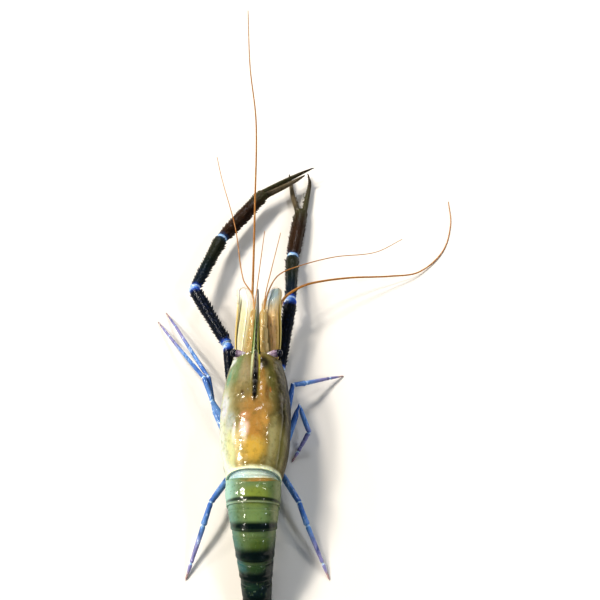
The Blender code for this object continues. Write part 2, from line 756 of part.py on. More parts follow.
GREAT_CLAW_SPINES = {"ischium": 9, "merus": 18, "carpus": 18, "palm": 26, "finger": 6}
GREAT_CLAW_GIRTHS = (
    # rows of (share, half width, half depth) in millimetres for each segment
    ((0.0, 3.1, 3.1), (0.12, 3.2, 3.1), (0.3, 3.1, 3.0), (0.7, 3.2, 3.1), (1.0, 3.2, 3.1)),
    ((0.0, 3.1, 3.0), (0.08, 3.7, 3.6), (0.45, 3.9, 3.8), (0.9, 4.4, 4.2), (1.0, 3.6, 3.5)),
    ((0.0, 3.3, 3.2), (0.1, 3.7, 3.6), (0.5, 4.2, 4.1), (0.88, 5.1, 4.9), (1.0, 4.0, 3.9)),
    ((0.0, 4.0, 3.9), (0.1, 4.9, 4.7), (0.45, 5.6, 5.1), (0.85, 5.5, 4.9), (1.0, 5.2, 4.6)),
)
FINGER_GIRTHS = (
    # share of the finger's length, half width, half depth
    (0.0, 2.2, 2.8),
    (0.12, 2.25, 2.7),
    (0.45, 1.95, 2.2),
    (0.75, 1.45, 1.5),
    (0.95, 0.65, 0.7),
)
FINGER_BOWS = {
    # how far each finger bows out from a straight line: the left claw is shut, the right one open
    ("left", "palm"): (0.0, 0.3, 0.9, 0.7, 0.1),
    ("left", "finger"): (0.0, 0.3, 0.9, 0.7, 0.1),
    ("right", "palm"): (0.1, 0.7, 2.0, 2.8, 0.9),
    ("right", "finger"): (0.1, 0.8, 1.4, 0.3, 0.0),
}


def build_great_claw(side, tag, places, root_path, colours):
    """The second leg: a long, thorny arm with a great pincer."""
    joints = [point(*place) for place in places]
    names = [f"great_claw_{part}_{tag}" for part in ("ischium", "merus", "carpus")]
    path = [point(*place) for place in root_path] + [joints[0]]
    shares = (0.0, 0.14, 0.3, 0.65, 1.0)
    middle = curve_through(path, 41)
    spine = [middle[round(share * 40)] for share in shares]
    merus_way = (joints[1] - joints[0]).normalized()
    hip_normal = ((joints[0] - spine[-2]).normalized() + merus_way).normalized()
    spine[-1] = joints[0] - hip_normal * (GAP / 2)
    sizes = [(row[1] * MM, row[2] * MM) for row in GREAT_CLAW_GIRTHS[0]]
    ischium = tube(names[0], spine, sizes, CLAW_SIDES, first=Vector((side, 0.0, 0.0)), last=hip_normal)
    thorns_round(ischium, spine[3], spine[4], GREAT_CLAW_SPINES["ischium"], CLAW_SPINE_HEIGHT)
    ischium.data.materials.append(colours["arm"])
    for index in (0, 1):
        before = joints[index - 1] if index else spine[-2]
        low, high, after = joints[index], joints[index + 1], joints[index + 2]
        way = (high - low).normalized()
        low_normal = ((low - before).normalized() + way).normalized()
        high_normal = (way + (after - high).normalized()).normalized()
        run = [low + low_normal * (GAP / 2), high - high_normal * (GAP / 2)]
        girths = GREAT_CLAW_GIRTHS[index + 1 : index + 2]
        rings = limb_rings(run, girths, CLAW_SIDES, low_normal, high_normal)
        body = skin(names[index + 1], rings)
        count = GREAT_CLAW_SPINES["carpus" if index else "merus"]
        thorns_round(body, low.lerp(high, 0.07), low.lerp(high, 0.94), count, CLAW_SPINE_HEIGHT)
        body.data.materials.append(colours["arm"])
    wrist, palm_end, fixed_tip, moving_tip = joints[2:]
    way = (palm_end - wrist).normalized()
    wrist_normal = ((wrist - joints[1]).normalized() + way).normalized()
    run = [wrist + wrist_normal * (GAP / 2), palm_end]
    rings = limb_rings(run, GREAT_CLAW_GIRTHS[3:], CLAW_SIDES, wrist_normal, way)
    inward = way.cross(UP).normalized() * -side
    for name, tip, lean in (("palm", fixed_tip, -1), ("finger", moving_tip, 1)):
        root = palm_end + inward * (lean * 2.4 * MM)
        if lean == 1:
            root = root + way * GAP
        reach = (tip - root).length
        course = (tip - root).normalized()
        finger_rings = []
        for (share, half_width, half_depth), bow in zip(FINGER_GIRTHS, FINGER_BOWS[tag, name]):
            normal = way if share == 0.0 else course
            place = root + course * (reach * share) + inward * (lean * bow * MM)
            finger_rings.append(ring_round(place, normal, half_width * MM, half_depth * MM, CLAW_SIDES))
        run_rings = rings + finger_rings if lean == -1 else finger_rings
        body = skin(f"great_claw_{name}_{tag}", run_rings, end_tip=tip)
        count = GREAT_CLAW_SPINES[name]
        if name == "palm":
            low, high = wrist.lerp(palm_end, 0.06), wrist.lerp(palm_end, 0.94)
        else:
            low, high = root.lerp(tip, 0.12), root.lerp(tip, 0.5)
        thorns_round(body, low, high, count, CLAW_SPINE_HEIGHT)
        body.data.materials.append(colours["claw"])


# ------------------------------------------------------------ feelers


def build_antenna_base(side, tag, material, scale_material):
    """The stout base of the long feeler and the blade that stands beside it."""
    rows = (
        # across, place on Y, height, half width, half depth
        (10.2, 41.3, 19.0, 3.8, 4.2),
        (10.4, 43.4, 19.0, 4.5, 4.6),
        (10.4, 45.5, 18.6, 4.3, 4.4),
        (9.2, 45.6, 16.4, 2.3, 2.2),
        (9.0, 56.0, 15.0, 2.5, 2.4),
        (9.0, 64.0, 14.2, 2.3, 2.2),
        (9.0, 66.0, 14.0, 1.7, 1.6),
    )
    forward = Vector((0.0, 1.0, 0.0))
    rings = []
    for across, y, height, half_width, half_depth in rows:
        place = point(side * across, y, height)
        rings.append(ring_round(place, forward, half_width * MM, half_depth * MM, CLAW_SIDES))
    base = skin("antenna_base_" + tag, rings)
    base.data.materials.append(material)
    spine = []
    shares = (0.0, 0.14, 0.35, 0.6, 0.82, 0.94, 1.0)
    for share in shares:
        across = 11.0 - 2.6 * smooth(share / 0.8) + 2.2 * smooth((share - 0.8) / 0.2)
        place = point(side * across, 45.9 + SCALE_LENGTH / MM * share, 21.0 + 12.0 * share)
        spine.append(place)
    widths = [width * MM for width in (1.8, 4.2, 5.9, 6.8, 7.0, 5.4, 2.4)]
    roll = math.radians(17)
    across = Vector((math.cos(roll) * side, 0.0, math.sin(roll)))
    lift = Vector((-math.sin(roll) * side, 0.0, math.cos(roll)))
    ribs = ((2 / 3, 0.6 * MM), (0.0, 0.3 * MM))
    leaf = blade("antennal_scale_" + tag, spine, widths, [1.1 * MM] * 7, across, lift, ribs, 7)
    edge = spine[4] + across * (widths[4] - 0.4 * MM)
    fuse(leaf, [thorn(edge, Vector((0.0, 1.0, 0.15)), 5.0 * MM, 0.55 * MM)])
    leaf.data.materials.append(scale_material)


def build_antennule(side, tag, knots, inner_knots, material, feeler_material):
    """The three-jointed stem of the short feelers, and the two lashes on its end."""
    rows = (
        (4.4, 41.3, 27.8, 2.9, 2.7),
        (4.0, 48.0, 28.2, 3.3, 2.9),
        (3.9, 56.5, 29.0, 3.0, 2.5),
        (3.8, 58.0, 29.2, 2.4, 2.1),
        (3.5, 68.0, 30.4, 2.7, 2.3),
        (3.4, 70.0, 30.7, 2.1, 1.9),
        (3.2, 82.0, 32.0, 2.2, 1.8),
    )
    forward = Vector((0.0, 1.0, 0.0))
    rings = []
    for across, y, height, half_width, half_depth in rows:
        place = point(side * across, y, height)
        rings.append(ring_round(place, forward, half_width * MM, half_depth * MM, CLAW_SIDES))
    stem = skin("antennule_stem_" + tag, rings)
    stem.data.materials.append(material)
    lashes = []
    for course, count, radius in ((knots, 15, 0.65 * MM), (inner_knots, 8, 0.5 * MM)):
        places = curve_through([point(*knot) for knot in course], count)
        sizes = []
        for index in range(count):
            girth = radius + (FEELER_TIP_RADIUS - radius) * index / (count - 1)
            sizes.append((girth, girth))
        lashes.append(tube("antennule_lash_" + tag, places, sizes, FEELER_SIDES, first=forward))
    fuse(lashes[0], lashes[1:])
    lashes[0].data.materials.append(feeler_material)


def build_feeler(tag, knots, lengths, material):
    """The long feeler, in two lengths."""
    count = sum(lengths) + 1
    places = curve_through([point(*knot) for knot in knots], count)
    start = 0
    for number, length in enumerate(lengths):
        stop = start + length
        run = places[start : stop + 1]
        sizes = []
        for index in range(start, stop + 1):
            girth = FEELER_ROOT_RADIUS + (FEELER_TIP_RADIUS - FEELER_ROOT_RADIUS) * index / (count - 1)
            sizes.append((girth, girth))
        joint_low = (places[start + 1] - places[max(start - 1, 0)]).normalized()
        joint_high = (places[min(stop + 1, count - 1)] - places[stop - 1]).normalized()
        if start:
            run[0] = run[0] + joint_low * (GAP / 2)
            joint = joint_low
        else:
            joint = Vector((0.0, 1.0, 0.0))
        if stop < count - 1:
            run[-1] = run[-1] - joint_high * (GAP / 2)
        body = tube(f"feeler_{tag}_{number + 1}", run, sizes, FEELER_SIDES, first=joint, last=joint_high)
        body.data.materials.append(material)
        start = stop


# ------------------------------------------------------------ the whole animal

WALKING_LEGS = {
    # joints from the breast plate to the tip, in millimetres
    (3, "left"): (
        (-9.3, -2, 4), (-16, 4, 5), (-28.9, 22, 12.5),
        (-35.2, 38.7, 14.5), (-65, 80.6, 4.5), (-76.9, 97.8, 0.2),
    ),
    (4, "left"): (
        (-9.3, -11, 4), (-16, -6, 4.8), (-27.8, 17.7, 7.5),
        (-33, 41.1, 12), (-62, 90.2, 4), (-72.3, 106.5, 0.2),
    ),
    (5, "left"): (
        (-9.3, -20, 4), (-15.5, -24, 5), (-25, -44, 13),
        (-29, -56, 10), (-36, -74, 3), (-39, -82, 0.2),
    ),
    (3, "right"): (
        (9.3, -2, 4), (16, 2, 5), (22.8, 33, 15.5),
        (31.2, 36, 13), (47.4, 45, 5), (57.5, 50, 0.2),
    ),
    (4, "right"): (
        (9.3, -11, 4), (17, -7, 5), (26.6, 16.1, 18),
        (32.4, 2.8, 8.5), (25.6, -6.9, 2.2), (21.5, -13.4, 0.2),
    ),
    (5, "right"): (
        (9.3, -20, 4), (15.5, -24, 5), (25, -44, 13),
        (29, -56, 10), (36, -74, 3), (39, -82, 0.2),
    ),
}
GREAT_CLAWS = {
    # path out from the breast plate,
    # then hip, elbow, wrist, end of the palm, tips of the fixed and the moving finger
    "left": (
        (
            (-9.3, 8, 4.2), (-13.5, 12.5, 4.5), (-16.3, 25, 5.6),
            (-19, 44, 9.5),
        ),
        (
            (-21.8, 66.8, 13), (-49.9, 114.5, 18), (-35.5, 172, 14),
            (-4.3, 229, 13), (40.6, 267, 13.5), (33.1, 257, 13),
        ),
    ),
    "right": (
        ((9.3, 8, 4.2), (13.5, 12.5, 4.5), (15.2, 25, 5.0)),
        (
            (14, 48, 8), (21.5, 103.6, 18), (22.1, 156.5, 8),
            (29.1, 216, 4.15), (35.1, 271.5, 3.6), (17.9, 270.8, 3.4),
        ),
    ),
}
FEELERS = {
    "left": (
        (-9, 66.3, 14),
        (-7.4, 84, 15.5),
        (-6.3, 100, 20),
        (-5.1, 165, 60),
        (-4.7, 213, 95),
        (-9.5, 248, 120),
        (-11.6, 286, 145),
    ),
    "right": (
        (9, 66.3, 14),
        (13, 85, 19.5),
        (16.1, 98, 25),
        (27.1, 108, 26.5),
        (40.1, 116, 24),
        (66.1, 127, 17),
        (97.1, 137, 8),
        (122.1, 147, 2.2),
        (145.1, 172, 0.5),
        (157.1, 205, 0.32),
        (160.1, 235, 0.26),
    ),
}
ANTENNULES = {
    "left": (
        (
            (-3.2, 82.3, 32), (-5, 95, 34), (-11.9, 107, 37),
            (-19.9, 151, 46), (-32.9, 197, 56), (-37.9, 218, 60),
        ),
        (
            (-3.2, 82.3, 32), (-2.2, 95, 35), (-0.5, 112, 41),
            (2.6, 140, 52),
        ),
    ),
    "right": (
        (
            (3.2, 82.3, 32), (6.4, 98, 35), (13.1, 112, 36),
            (28.1, 124, 33), (54.1, 139, 27), (86.1, 152, 19),
            (110.1, 172, 14),
        ),
        (
            (3.2, 82.3, 32), (4.4, 95, 35.8), (8.1, 112, 42),
            (14.1, 138, 52),
        ),
    ),
}


def sway(y):
    """How far the animal's middle line lies to its right at a place on Y: it lies in a slight curve."""
    ahead = y / MM
    if ahead > 40:
        ahead = 40 + 16 * math.tanh((ahead - 40) / 16)
    behind = max(0.0, -45 - y / MM)
    return (-0.7 - 0.025 * ahead + 0.05 * (math.sqrt(behind * behind + 36) - 6)) * MM


def main():
    """Build the whole animal."""
    clear_scene()
    olive = principled("olive shell", (0.20, 0.19, 0.07), 0.25)
    green = principled("green tail plate", (0.10, 0.16, 0.05), 0.25)
    membrane = principled("pale membrane", (0.70, 0.78, 0.75), 0.35)
    periwinkle = principled("periwinkle leg", (0.20, 0.28, 0.55), 0.3)
    cream = principled("cream blade", (0.72, 0.66, 0.38), 0.3)
    orange = principled("orange feeler", (0.65, 0.22, 0.08), 0.4)
    claw_colours = {
        "arm": principled("blue black arm", (0.01, 0.03, 0.06), 0.3),
        "claw": principled("brown black claw", (0.05, 0.02, 0.01), 0.3),
    }
    build_carapace(olive)
    build_waist(membrane)
    build_thorax(membrane)
    build_rostrum(principled("green rostrum", (0.08, 0.14, 0.02), 0.3))
    joints = tail_joints()
    for index in range(len(SOMITE_LENGTHS)):
        build_somite(index, joints, green)
    build_tail_fan(joints, green, principled("blue tail fan", (0.03, 0.08, 0.12), 0.3))
    cornea = principled("black cornea", (0.01, 0.01, 0.012), 0.08)
    for side, tag in ((-1, "left"), (1, "right")):
        build_eye(side, tag, membrane, cornea)
        build_antenna_base(side, tag, cream, cream)
        build_antennule(side, tag, *ANTENNULES[tag], cream, orange)
        build_feeler(tag, FEELERS[tag], (12, 11), orange)
        build_jaw_leg(side, tag, periwinkle)
        build_small_claw_leg(side, tag, periwinkle)
        build_great_claw(side, tag, GREAT_CLAWS[tag][1], GREAT_CLAWS[tag][0], claw_colours)
        for number in (3, 4, 5):
            joints_of_leg = [point(*place) for place in WALKING_LEGS[number, tag]]
            build_walking_leg(number, side, tag, joints_of_leg, periwinkle)
    for thing in bpy.data.objects:
        for vertex in thing.data.vertices:
            vertex.co.x += sway(vertex.co.y)


main()
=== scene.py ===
# %% [markdown]
# # Dressing a giant river prawn
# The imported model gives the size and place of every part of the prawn. This lesson covers it with
# the forms and finishes of the live animal: a thin wet shell with raised edges, soft skin at the
# joints, spines, ringed feelers and fringes of fine bristles. Lengths are in metres, with the head
# along +Y, the back up along +Z and the animal's right side along +X.

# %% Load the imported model
import math
import random

import bmesh
import bpy
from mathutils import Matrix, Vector, noise


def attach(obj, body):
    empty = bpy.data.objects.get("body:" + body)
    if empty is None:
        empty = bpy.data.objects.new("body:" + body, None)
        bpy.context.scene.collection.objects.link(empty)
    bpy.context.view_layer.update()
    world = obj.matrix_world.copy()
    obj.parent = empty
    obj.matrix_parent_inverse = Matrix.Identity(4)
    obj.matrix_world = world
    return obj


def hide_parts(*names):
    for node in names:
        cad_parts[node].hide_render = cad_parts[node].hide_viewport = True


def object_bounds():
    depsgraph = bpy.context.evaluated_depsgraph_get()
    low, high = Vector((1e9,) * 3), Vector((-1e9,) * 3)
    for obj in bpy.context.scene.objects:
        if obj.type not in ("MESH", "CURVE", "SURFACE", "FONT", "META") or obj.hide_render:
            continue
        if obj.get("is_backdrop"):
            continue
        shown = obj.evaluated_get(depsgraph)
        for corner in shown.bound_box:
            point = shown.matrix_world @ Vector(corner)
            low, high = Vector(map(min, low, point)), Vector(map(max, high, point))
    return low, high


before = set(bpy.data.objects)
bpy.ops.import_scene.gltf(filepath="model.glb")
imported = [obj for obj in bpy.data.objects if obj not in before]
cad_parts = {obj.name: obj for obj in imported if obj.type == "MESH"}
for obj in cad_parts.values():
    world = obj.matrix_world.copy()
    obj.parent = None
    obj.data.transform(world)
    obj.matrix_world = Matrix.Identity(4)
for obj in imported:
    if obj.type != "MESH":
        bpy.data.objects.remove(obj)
cad_low, cad_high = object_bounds()
scene = bpy.context.scene
MM = 0.001
UP = Vector((0, 0, 1))
FORWARD = Vector((0, 1, 0))
SIDES = ((-1, "left"), (1, "right"))
random.seed(11)
print("nodes in the frame:", len(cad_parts))

# %% [markdown]
# ## Curves through a few sizes
# A body is described by a few measured rows: how wide and how deep it is at some places. A Hermite
# curve through the rows gives every size in between, so a form has one table of sizes and no corner
# where two rows meet. Subdividing a coarse cage would also round it, but would shrink it.

# %% Smooth tables and curves
def smooth(share):
    share = min(1.0, max(0.0, share))
    return share * share * (3 - 2 * share)


def bump(value, middle, reach):
    """A soft hill of height 1 around a middle."""
    return math.exp(-(((value - middle) / reach) ** 2))


def row_at(rows, key):
    """Sizes at a key on a smooth curve through rows of (key, size, size...)."""
    if key <= rows[0][0]:
        return rows[0][1:]
    if key >= rows[-1][0]:
        return rows[-1][1:]
    after = next(i for i, row in enumerate(rows) if row[0] >= key)
    low, high = rows[after - 1], rows[after]
    before_low, past_high = rows[max(after - 2, 0)], rows[min(after + 1, len(rows) - 1)]
    span = high[0] - low[0]
    share = (key - low[0]) / span
    cube, square = share**3, share**2
    values = []
    for column in range(1, len(low)):
        slope_low = (high[column] - before_low[column]) / (high[0] - before_low[0]) * span
        slope_high = (past_high[column] - low[column]) / (past_high[0] - low[0]) * span
        value = (2 * cube - 3 * square + 1) * low[column] + (cube - 2 * square + share) * slope_low
        values.append(value + (3 * square - 2 * cube) * high[column] + (cube - square) * slope_high)
    return tuple(values)


def point(x, y, z):
    """A place given in millimetres."""
    return Vector((x, y, z)) * MM


def course_of(knots, side=1):
    """Places given in millimetres; side mirrors them to the left."""
    return [point(side * x, y, z) for x, y, z in knots]


def curve_through(knots, count):
    """Evenly many points of a smooth curve through a few knots."""
    rows, travelled = [], 0.0
    for index, knot in enumerate(knots):
        travelled += (knot - knots[index - 1]).length if index else 0.0
        rows.append((travelled, *knot))
    return [Vector(row_at(rows, travelled * step / (count - 1))) for step in range(count)]


def way_at(course, index):
    """The way that a course of points runs at one of them."""
    return (course[min(index + 1, len(course) - 1)] - course[max(index - 1, 0)]).normalized()


def ways_along(places):
    return [(b - a).normalized() for a, b in zip(places, places[1:])]


def between(span, share):
    return span[0] + (span[1] - span[0]) * share


print("middle of three knots:", curve_through(course_of(((0, 0, 0), (2, 5, 0), (0, 10, 0))), 3)[1])

# %% [markdown]
# ## The curve that the body lies in
# A prawn hardly ever lies dead straight. Each piece is made about a straight line, and one function
# then moves every point sideways, so shells, limbs and bristles bend together. A lattice would bend
# them too, but not to the micron.

# %% Sway
HEAD_ZONE, HEAD_EASE = 40, 16  # mm: from where, and over how much, the bend of the head dies out
TAIL_ZONE, TAIL_EASE = -45, 6  # mm: from where, and how gently, the tail bends further


def sway(y):
    """How far the middle line lies to the animal's right at a place on Y."""
    ahead = y / MM
    if ahead > HEAD_ZONE:
        ahead = HEAD_ZONE + HEAD_EASE * math.tanh((ahead - HEAD_ZONE) / HEAD_EASE)
    behind = max(0.0, TAIL_ZONE - y / MM)
    return (-0.7 - 0.025 * ahead + 0.05 * (math.sqrt(behind * behind + TAIL_EASE**2) - TAIL_EASE)) * MM


print("the tail's end sways to the right by, in mm:", round(sway(-0.14) / MM, 1))

# %% [markdown]
# ## A net that grows into a mesh
# Shell, skin and feelers are rings of points joined by four-sided faces, so one small class collects
# them. Beside each face corner it keeps a place on the shell: how far across from the middle line
# (-1 to 1) and how far along (0 to 1). The finishes read that place, so a dark band or a pale edge
# stays on its plate from every side.

# %% The net
class Net:
    """Points, faces and shell places of one piece, with the finish that each face takes."""

    def __init__(self):
        self.points, self.faces, self.places, self.coats = [], [], [], []

    def face(self, corners, places):
        self.faces.append(corners)
        self.places.append(places)
        self.coats.append(0)

    def skin(self, rings, across=None, along=None, end=None):
        """Faces between rings, closed at both ends by a fan to a tip or to the ring's middle."""
        base, count = len(self.points), len(rings[0])
        across = across or [2 * j / count - 1 for j in range(count + 1)]
        along = along or [i / (len(rings) - 1) for i in range(len(rings))]
        for ring in rings:
            self.points.extend(ring)
        for j in range(count):
            k, here = (j + 1) % count, across[j]
            there = across[j + 1] if abs(across[j + 1] - here) < 1 else here
            for i in range(len(rings) - 1):
                low, high = base + i * count, base + (i + 1) * count
                spots = ((here, along[i]), (there, along[i]), (there, along[i + 1]), (here, along[i + 1]))
                self.face((low + j, low + k, high + k, high + j), spots)
        for row, tip in ((0, None), (len(rings) - 1, end)):
            self.points.append(tip or sum(rings[row], Vector()) / count)
            last, low = len(self.points) - 1, base + row * count
            for j in range(count):
                spots = ((across[j], along[row]),) * 3
                self.face((low + j, low + (j + 1) % count, last), spots)

    def leaf(self, upper, lower, across, along):
        """A thin blade between two nets of points of one layout, closed round its edge."""
        rows, columns, base = len(upper), len(upper[0]), len(self.points)
        for net in (upper, lower):
            for row in net:
                self.points.extend(row)
        grid = [[base + i * columns + j for j in range(columns)] for i in range(2 * rows)]
        index = (grid[:rows], grid[rows:])
        for i in range(rows - 1):
            for j in range(columns - 1):
                cells = ((i, j), (i, j + 1), (i + 1, j + 1), (i + 1, j))
                spots = tuple((across[b], along[a]) for a, b in cells)
                for side in index:
                    self.face(tuple(side[a][b] for a, b in cells), spots)
        border = [(0, j) for j in range(columns - 1)] + [(i, columns - 1) for i in range(rows - 1)]
        border += [(rows - 1, j) for j in range(columns - 1, 0, -1)] + [(i, 0) for i in range(rows - 1, 0, -1)]
        for (a, b), (c, d) in zip(border, border[1:] + border[:1]):
            spots = ((across[b], along[a]), (across[d], along[c]), (across[d], along[c]), (across[b], along[a]))
            self.face((index[0][a][b], index[0][c][d], index[1][c][d], index[1][a][b]), spots)


print("points of an empty net:", len(Net().points))

# %% [markdown]
# ## Spines and bristles
# A spine is a narrow stack of rings with its foot sunk in the shell, so no gap shows where it stands.
# A bristle is only a three-sided point: thousands of them stay light, and they keep their shape on
# export, which curves of hair would not.

# %% Spines and bristles
THIRD = 2.09  # a third of a turn


def spike(net, root, direction, height, radius, place=(0.0, 0.0), sides=6, hook=None):
    """A spine, sized in mm, whose foot is sunk in the shell; hook is the way that its tip bends."""
    height, radius = height * MM, radius * MM
    direction = direction.normalized()
    beside = direction.orthogonal().normalized()
    other = direction.cross(beside)
    hook = (hook or Vector()) * height
    rings = []
    for share, girth in ((-0.35, 1.15), (0.12, 0.8), (0.55, 0.42)):
        middle = root + direction * (height * share) + hook * max(share, 0) ** 2
        turns = [2 * math.pi * j / sides for j in range(sides)]
        outward = [beside * math.cos(t) + other * math.sin(t) for t in turns]
        rings.append([middle + out * (radius * girth) for out in outward])
    flat = [place[0]] * (sides + 1)
    net.skin(rings, flat, [place[1]] * 3, end=root + direction * height + hook)


def hair(net, root, way, length, radius, place=(0.0, 0.0)):
    """One stiff bristle, sized in mm: a three-sided point."""
    way = way.normalized()
    beside = way.orthogonal().normalized()
    other = way.cross(beside)
    base = len(net.points)
    for turn in (0, THIRD, 2 * THIRD):
        net.points.append(root + (beside * math.cos(turn) + other * math.sin(turn)) * (radius * MM))
    net.points.append(root + way * (length * MM))
    for corners in ((0, 1, 3), (1, 2, 3), (2, 0, 3), (0, 2, 1)):
        net.face(tuple(base + c for c in corners), (place,) * 3)


print("edges round a bristle:", round(2 * math.pi / THIRD))

# %% [markdown]
# ## From net to piece
# One function ends every net: it bends the points by the sway, writes the maps, gives each face its
# finish, turns the faces outward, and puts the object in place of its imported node. Bristles also get
# a second map with a tiny patch at each root, which gives every bristle its own colour on export.

# %% Pieces
BRISTLE_PATCH = 0.003  # size of one bristle's patch on the second map
MAP_EDGE, MAP_HALF, MAP_HEIGHT = 0.02, 0.47, 0.94  # where the shell map lies on the second map
LOWEST = 0.05 * MM  # no point goes below this, so nothing sinks into the floor


def build(net, name, finishes, nodes=None, sharp=50, bristles=False):
    """Make the mesh object, which rides on the body.

    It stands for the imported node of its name, or for the nodes given, and is then called wet_
    and its name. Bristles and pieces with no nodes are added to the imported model.
    """
    if nodes is None:
        nodes = () if bristles else (name,)
    mesh = bpy.data.meshes.new(name)
    mesh.from_pydata([(p.x + sway(p.y), p.y, max(p.z, LOWEST)) for p in net.points], [], net.faces)
    spots = mesh.uv_layers.new(name="Shell")
    spots.data.foreach_set("uv", [value for face in net.places for place in face for value in place])
    if bristles:
        patch = mesh.uv_layers.new(name="OFBake")
        corners = ((0, 0), (1, 0), (0.5, 1), (0, 1))
        flat = []
        for face in net.places:
            for (u, v), (du, dv) in zip(face, corners):
                flat.append(MAP_EDGE + MAP_HALF * (u + 1) + du * BRISTLE_PATCH)
                flat.append(MAP_EDGE + MAP_HEIGHT * v + dv * BRISTLE_PATCH)
        patch.data.foreach_set("uv", flat)
    mesh.polygons.foreach_set("material_index", net.coats)
    for finish in finishes:
        mesh.materials.append(finish)
    work = bmesh.new()
    work.from_mesh(mesh)
    bmesh.ops.recalc_face_normals(work, faces=work.faces)
    work.to_mesh(mesh)
    work.free()
    mesh.shade_smooth()
    mesh.set_sharp_from_angle(angle=math.radians(sharp))
    piece = bpy.data.objects.new("wet_" + name if nodes else name, mesh)
    scene.collection.objects.link(piece)
    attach(piece, "root")
    if nodes:
        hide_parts(*nodes)
    print(f"{name}: {len(net.faces)} faces")
    return piece


print("a piece is never lower than, in mm:", LOWEST / MM)

# %% [markdown]
# ## Rings round a limb
# Legs, arms and feelers are round in section, so their rings are ellipses. The across axis is level
# and the other one points up, which keeps a row of spines on one side of a limb from joint to joint.

# %% Rings and jointed segments
def axes_for(normal):
    across = normal.cross(UP)
    if across.length < 0.05:
        across = Vector((1.0, 0.0, 0.0))
    across.normalize()
    return across, across.cross(normal).normalized()


def on_ellipse(axes, half_width, half_depth, turn):
    """The step from the middle of an ellipse to its edge."""
    return axes[0] * (half_width * math.cos(turn)) + axes[1] * (half_depth * math.sin(turn))


def ring_round(centre, normal, half_width, half_depth, sides):
    """A ring of places, sized in mm, that starts below and runs round the limb."""
    axes = axes_for(normal)
    turns = [2 * math.pi * (index + 0.5) / sides - math.pi / 2 for index in range(sides)]
    return [centre + on_ellipse(axes, half_width * MM, half_depth * MM, turn) for turn in turns]


def tilt_between(way, low_normal, high_normal, share, reach):
    """The way that a ring faces: slanted towards its neighbour only close to a joint."""
    low, high = smooth(1 - share / reach), smooth(1 - (1 - share) / reach)
    return (way * (1 - low - high) + low_normal * low + high_normal * high).normalized()


print("limb axes along +Y:", axes_for(FORWARD))

# %% [markdown]
# ## Colours and nodes
# Colours are picked as sRGB hex values, which the shader wants as linear light. Every node is added
# by one function that also sets its values and plugs its links, so a material reads as a list.

# %% One function for colours, one for nodes
def linear(code):
    """An sRGB hex colour as linear red, green, blue and alpha."""
    parts = [int(code[i : i + 2], 16) / 255 for i in (1, 3, 5)]
    return (*[p / 12.92 if p <= 0.04045 else ((p + 0.055) / 1.055) ** 2.4 for p in parts], 1.0)


def add_node(tree, kind, settings=None, inputs=None):
    """Add a shader node, set its properties, then set or link its inputs by name or number."""
    node = tree.nodes.new("ShaderNode" + kind)
    for name, value in (settings or {}).items():
        setattr(node, name, value)
    for socket, value in (inputs or {}).items():
        if isinstance(value, bpy.types.NodeSocket):
            tree.links.new(value, node.inputs[socket])
        else:
            node.inputs[socket].default_value = value
    return node


def new_material(name):
    """A material with its node tree and its shader."""
    material = bpy.data.materials.new(name)
    material.use_nodes = True
    return material, material.node_tree, material.node_tree.nodes["Principled BSDF"]


print("olive shell as linear light:", [round(v, 3) for v in linear("#6E8043")])

# %% [markdown]
# ## How a prawn's shell gets its colour
# The shell is thin, clear chitin over skin that carries the pigment, so its colours lie in soft
# patches with no hard edge. Each patch is an ellipse on the shell map, bent by noise as pigment is.
# A mask painted by hand would do it too, but would be an image; a few named ellipses stay editable.

# %% Patches, mottling and relief
EVEN = (1, 1, 1)
ALONG = (1, 0.12, 1)  # drawn out along the body
CLOUD, CELLS = "TexNoise", "TexVoronoi"
BLEND = {"data_type": "RGBA"}
SOFT = {"interpolation_type": "SMOOTHSTEP"}
FACTOR, UNDER, OVER, MIXED = 0, 6, 7, 2  # sockets of a Mix node that mixes colours
MOTTLE_EDGE = 0.16  # how softly a blotch ends, in the noise that makes it


def cover(tree, colour, code, inputs):
    """Lay one colour over another where a smooth step of a value lets it."""
    share = add_node(tree, "MapRange", SOFT, inputs).outputs[0]
    inputs = {FACTOR: share, UNDER: colour, OVER: linear(code)}
    return add_node(tree, "Mix", BLEND, inputs).outputs[MIXED]


def paint(tree, place, colour, patches):
    """Lay soft ellipses over a colour, in rows of (hex, centre, centre, radius, radius, strength)."""
    for code, x, y, wide, high, strength in patches:
        inputs = {0: place, 1: (x, y, 0)}
        offset = add_node(tree, "VectorMath", {"operation": "SUBTRACT"}, inputs).outputs[0]
        inputs = {0: offset, 1: (wide, high, 1)}
        share = add_node(tree, "VectorMath", {"operation": "DIVIDE"}, inputs).outputs[0]
        reach = add_node(tree, "VectorMath", {"operation": "LENGTH"}, {0: share}).outputs["Value"]
        inputs = {"Value": reach, "From Min": 0.3, "From Max": 1.15, "To Min": strength, "To Max": 0}
        colour = cover(tree, colour, code, inputs)
    return colour


def texture(tree, kind, solid, size, stretch, inputs):
    """A texture with features of a size in mm; stretch is empty or how it is drawn out."""
    drawn = {0: solid, 1: (*stretch, EVEN)[0]}
    drawn = add_node(tree, "VectorMath", {"operation": "MULTIPLY"}, drawn).outputs[0]
    inputs = {"Vector": drawn, "Scale": 1 / MM / size, **inputs}
    return add_node(tree, kind, inputs=inputs).outputs[0]


def mottle(tree, solid, colour, rows):
    """Break a colour up with noise: rows of (hex, size in mm, strength, threshold, stretch)."""
    for code, size, strength, low, *stretch in rows:
        cloud = texture(tree, CLOUD, solid, size, stretch, {"Detail": 4, "Roughness": 0.62})
        inputs = {"Value": cloud, "From Min": low, "From Max": low + MOTTLE_EDGE, "To Max": strength}
        colour = cover(tree, colour, code, inputs)
    return colour


